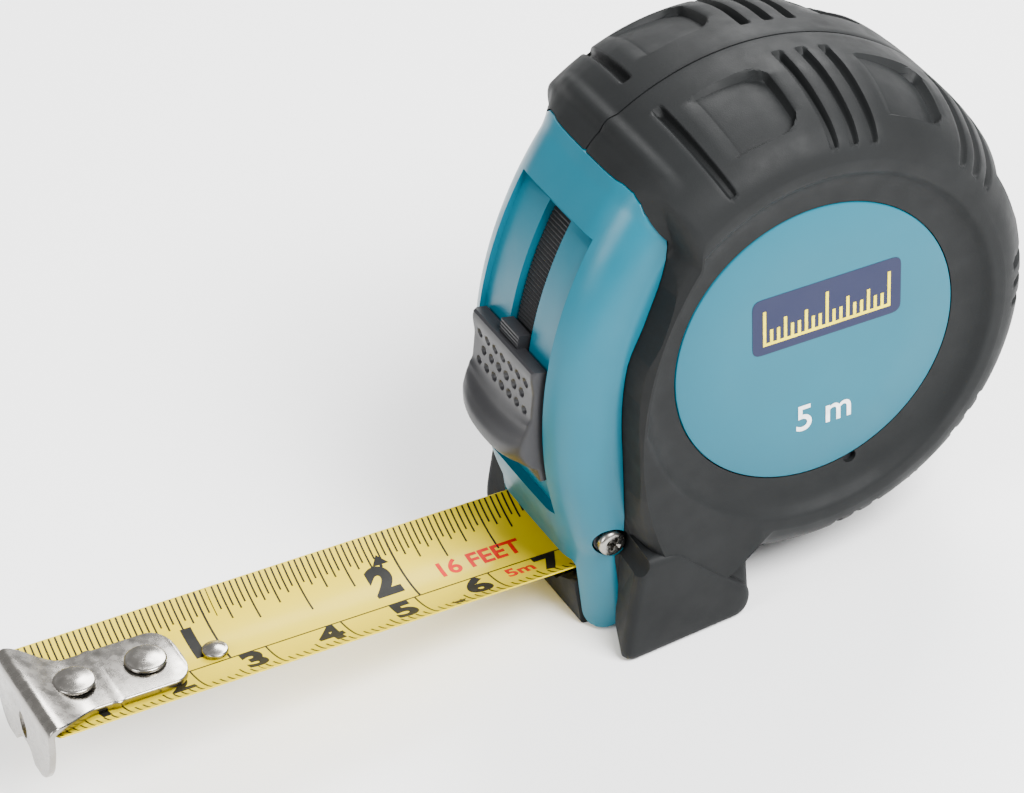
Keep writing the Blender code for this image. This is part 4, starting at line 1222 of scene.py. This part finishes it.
CLIP_PATH = [(17.7, 52.6), (17.7, 48.0), (17.7, 43.6), (18.5, 41.3), (20.0, 39.2), (20.6, 36.5),
             (20.5, 28.0), (20.3, 20.0), (19.9, 12.0), (20.5, 8.2), (21.7, 5.3)]
CLIP_HALF = 7.0


def build_clip():
    """Sprung steel clip on the right side, bent from one strip with rounded ends."""
    thick = 0.9
    points = smooth_path([Vector((0, -y, z)) for y, z in CLIP_PATH], 6)
    rings = []
    total = len(points) - 1
    for i, point in enumerate(points):
        ahead = (points[min(total, i + 1)] - points[max(0, i - 1)]).normalized()
        out = Vector((0, ahead.z, -ahead.y))
        if out.y > 0:
            out = -out
        from_end = min((point - points[0]).length, (point - points[-1]).length)
        rounding = math.sqrt(max(0.0, 1 - max(0.0, 1 - from_end / 3.0) ** 2))
        half = CLIP_HALF * (0.65 + 0.35 * rounding)
        rings.append([tuple(point + out * (thick - depth) + Vector((x, 0, 0)))
                      for depth, x in rounded_section(half, thick)])
    clip = loft("belt_clip_sprung", rings, 30)
    combine(clip, rod_y("clip_hole", CLIP_SCREW, 1.7, -30, -10, 40))
    shade(clip, 32)
    return clip


def smooth_path(points, steps):
    """Catmull-Rom curve through the points."""
    path = []
    for i in range(len(points) - 1):
        a = points[max(0, i - 1)]
        b, c = points[i], points[i + 1]
        d = points[min(len(points) - 1, i + 2)]
        for k in range(steps):
            t = k / steps
            path.append(0.5 * (2 * b + (c - a) * t + (2 * a - 5 * b + 4 * c - d) * t ** 2
                               + (3 * b - a - 3 * c + d) * t ** 3))
    path.append(points[-1])
    return path


# ---------------------------------------------------------------- scene

def dress_case():
    """Grips, cover, bumper, labels, and the screws and clip outside."""
    grip = build_grip("left_grip_moulded")
    other = copy_mirrored(grip, "right_grip_moulded")
    stand_for(grip, "case", rubber("left_grip_rubber"), "left_grip")
    stand_for(other, "case", rubber("right_grip_rubber"), "right_grip")
    stand_for(build_cover(), "case", plastic("front_cover_teal", TEAL, 0.33, 0.3, 0.06), "front_cover")
    stand_for(build_bumper(), "case", rubber("mouth_bumper_rubber"), "mouth_bumper")
    for side, word in ((1, "left"), (-1, "right")):
        dress_label(side, word)
        face = TONGUE[1] + 0.7
        screw = build_screw(word + "_cover_screw_head", SCREW_PLACE, face, 6.4, 1.75, 0.9, side, 35)
        stand_for(screw, "case", metal(word + "_cover_screw", NICKEL, 0.25), word + "_cover_screw")
    stand_for(build_clip(), "case", metal("belt_clip", NICKEL, 0.27, (1, 8, 0.3)), "belt_clip")
    clip_screw = build_screw("belt_clip_screw_head", CLIP_SCREW, 20.2, 7.0, 2.8, 1.0, -1, 20)
    stand_for(clip_screw, "case", metal("belt_clip_screw", NICKEL, 0.3), "belt_clip_screw")


def dress_lock():
    """Thumb button and its slide."""
    finish = plastic("lock_button_black", (0.016, 0.016, 0.018), 0.42, 0.18, 0.22)
    stand_for(build_button(), "lock", finish, "lock_button")
    stand_for(build_strip(), "lock", plastic("lock_strip_black", BLACK, 0.5, 0.2, 0.2), "lock_strip")


def dress_blade():
    """Blade with its print, rivets and hook."""
    stand_for(build_blade_end(), "blade", lacquer("blade_end_yellow", YELLOW), "blade_end")
    black, _ = scale_marks(0.6, BLADE_END)
    stand_for(merge("blade_end_scale", black), "blade", ink("blade_end_ink", PRINT), slot="blade_end")
    stand_for(build_backing(), "blade", metal("blade_backing", NICKEL, 0.35), "blade_backing")
    run = stand_for(build_blade_run(), "case", lacquer("blade_run_yellow", YELLOW), "blade_run")
    black, red = scale_marks(BLADE_END, BLADE_OUT + 2.5)
    marks = stand_for(merge("blade_run_scale", black), "case", ink("blade_run_ink", PRINT), slot="blade_run")
    words = stand_for(merge("blade_run_length", red), "case", ink("blade_run_red", RED), slot="blade_run")
    for piece in (run, marks, words):
        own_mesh(piece)
    plate = hook_height(RIVETS[1][0])
    words_and_seats = (("front_rivet", plate + 0.45), ("rear_rivet", plate + 0.2), ("backing_rivet", 0.32))
    for (s, radius), (word, seat) in zip(RIVETS, words_and_seats):
        stand_for(build_rivet(word + "_domed", s, radius, seat), "blade", metal(word, NICKEL, 0.24), word)
    stand_for(build_hook(), "hook", metal("end_hook", NICKEL, 0.26, (1, 0.4, 1)), "end_hook")


def dress_inside():
    """Finishes of the pieces that keep their CAD shape."""
    nodes = frame["nodes"]
    for word in ("left", "right"):
        dress(nodes[word + "_shell"], plastic(word + "_shell_black", (0.03, 0.03, 0.034), 0.45, 0.3, 0.15))
        dress(nodes[word + "_centre_screw"], metal(word + "_centre_screw_zinc", NICKEL, 0.32))
    for name in ("reel_drum", "drum_cover"):
        dress(nodes[name], plastic(name + "_grey", (0.5, 0.5, 0.48), 0.45, 0.3, 0.12))
    dress(nodes["blade_coil"], coil_look())
    dress(nodes["recoil_spring"], metal("recoil_spring_blued", (0.22, 0.23, 0.27), 0.3))
    dress(nodes["centre_post"], metal("centre_post_turned", NICKEL, 0.3, (0.3, 8, 0.3)))
    dress(nodes["brake_pad"], rubber("brake_pad_rubber", (0.02, 0.02, 0.022)))


def coil_look():
    """Wound blade: fine rings round the reel axis."""
    look = Look("blade_coil_wound", YELLOW, 0.36)
    look.drift(look.noise(8, 3), 0.93, 1.04)
    look.gloss(look.noise(3, 3), 0.05)
    look.bump(look.noise(0.6, 2, (1, 0.05, 1)), 0.25, 0.08)
    return look.material


def set_stage():
    """Pale floor and soft light."""
    floor = box("floor", (-3000, -3000, -20), (3000, 3000, 0))
    look = Look("floor_pale", (0.95, 0.95, 0.95), 0.8)
    look.drift(look.noise(300, 2), 0.99, 1.01)
    look.bump(look.noise(2, 2), 0.02, 0.05)
    dress(floor, look.material)
    world = bpy.data.worlds.new("studio")
    world.use_nodes = True
    world.node_tree.nodes["Background"].inputs["Color"].default_value = (1, 1, 1, 1)
    world.node_tree.nodes["Background"].inputs["Strength"].default_value = 0.55
    bpy.context.scene.world = world
    soft_light("key", (-0.25, 0.55, 0.75), 0.5, 32.0)
    soft_light("front", (0.7, 0.15, 0.45), 0.35, 5.0)
    soft_light("back", (-0.45, -0.5, 0.6), 0.4, 14.0)


def soft_light(name, place, size, power):
    """Square area light aimed at the case."""
    light = bpy.data.lights.new(name, "AREA")
    light.shape = "SQUARE"
    light.size = size
    light.energy = power
    lamp = bpy.data.objects.new(name, light)
    bpy.context.scene.collection.objects.link(lamp)
    lamp.location = place
    lamp.rotation_mode = "QUATERNION"
    lamp.rotation_quaternion = (Vector((0.02, 0, 0.03)) - Vector(place)).to_track_quat("-Z", "Y")


def set_camera():
    """Long lens from above the left front."""
    camera = bpy.data.cameras.new("camera")
    camera.lens = CAMERA_LENS
    camera.sensor_width = 36.0
    camera.clip_start = 0.01
    eye = bpy.data.objects.new("camera", camera)
    bpy.context.scene.collection.objects.link(eye)
    eye.location = CAMERA_PLACE
    eye.rotation_mode = "QUATERNION"
    roll = Quaternion((0, 0, 1), CAMERA_ROLL)
    eye.rotation_quaternion = CAMERA_LOOK.to_track_quat("-Z", "Y") @ roll
    bpy.context.scene.camera = eye


set_camera()
dress_case()
dress_lock()
dress_blade()
dress_inside()
set_stage()
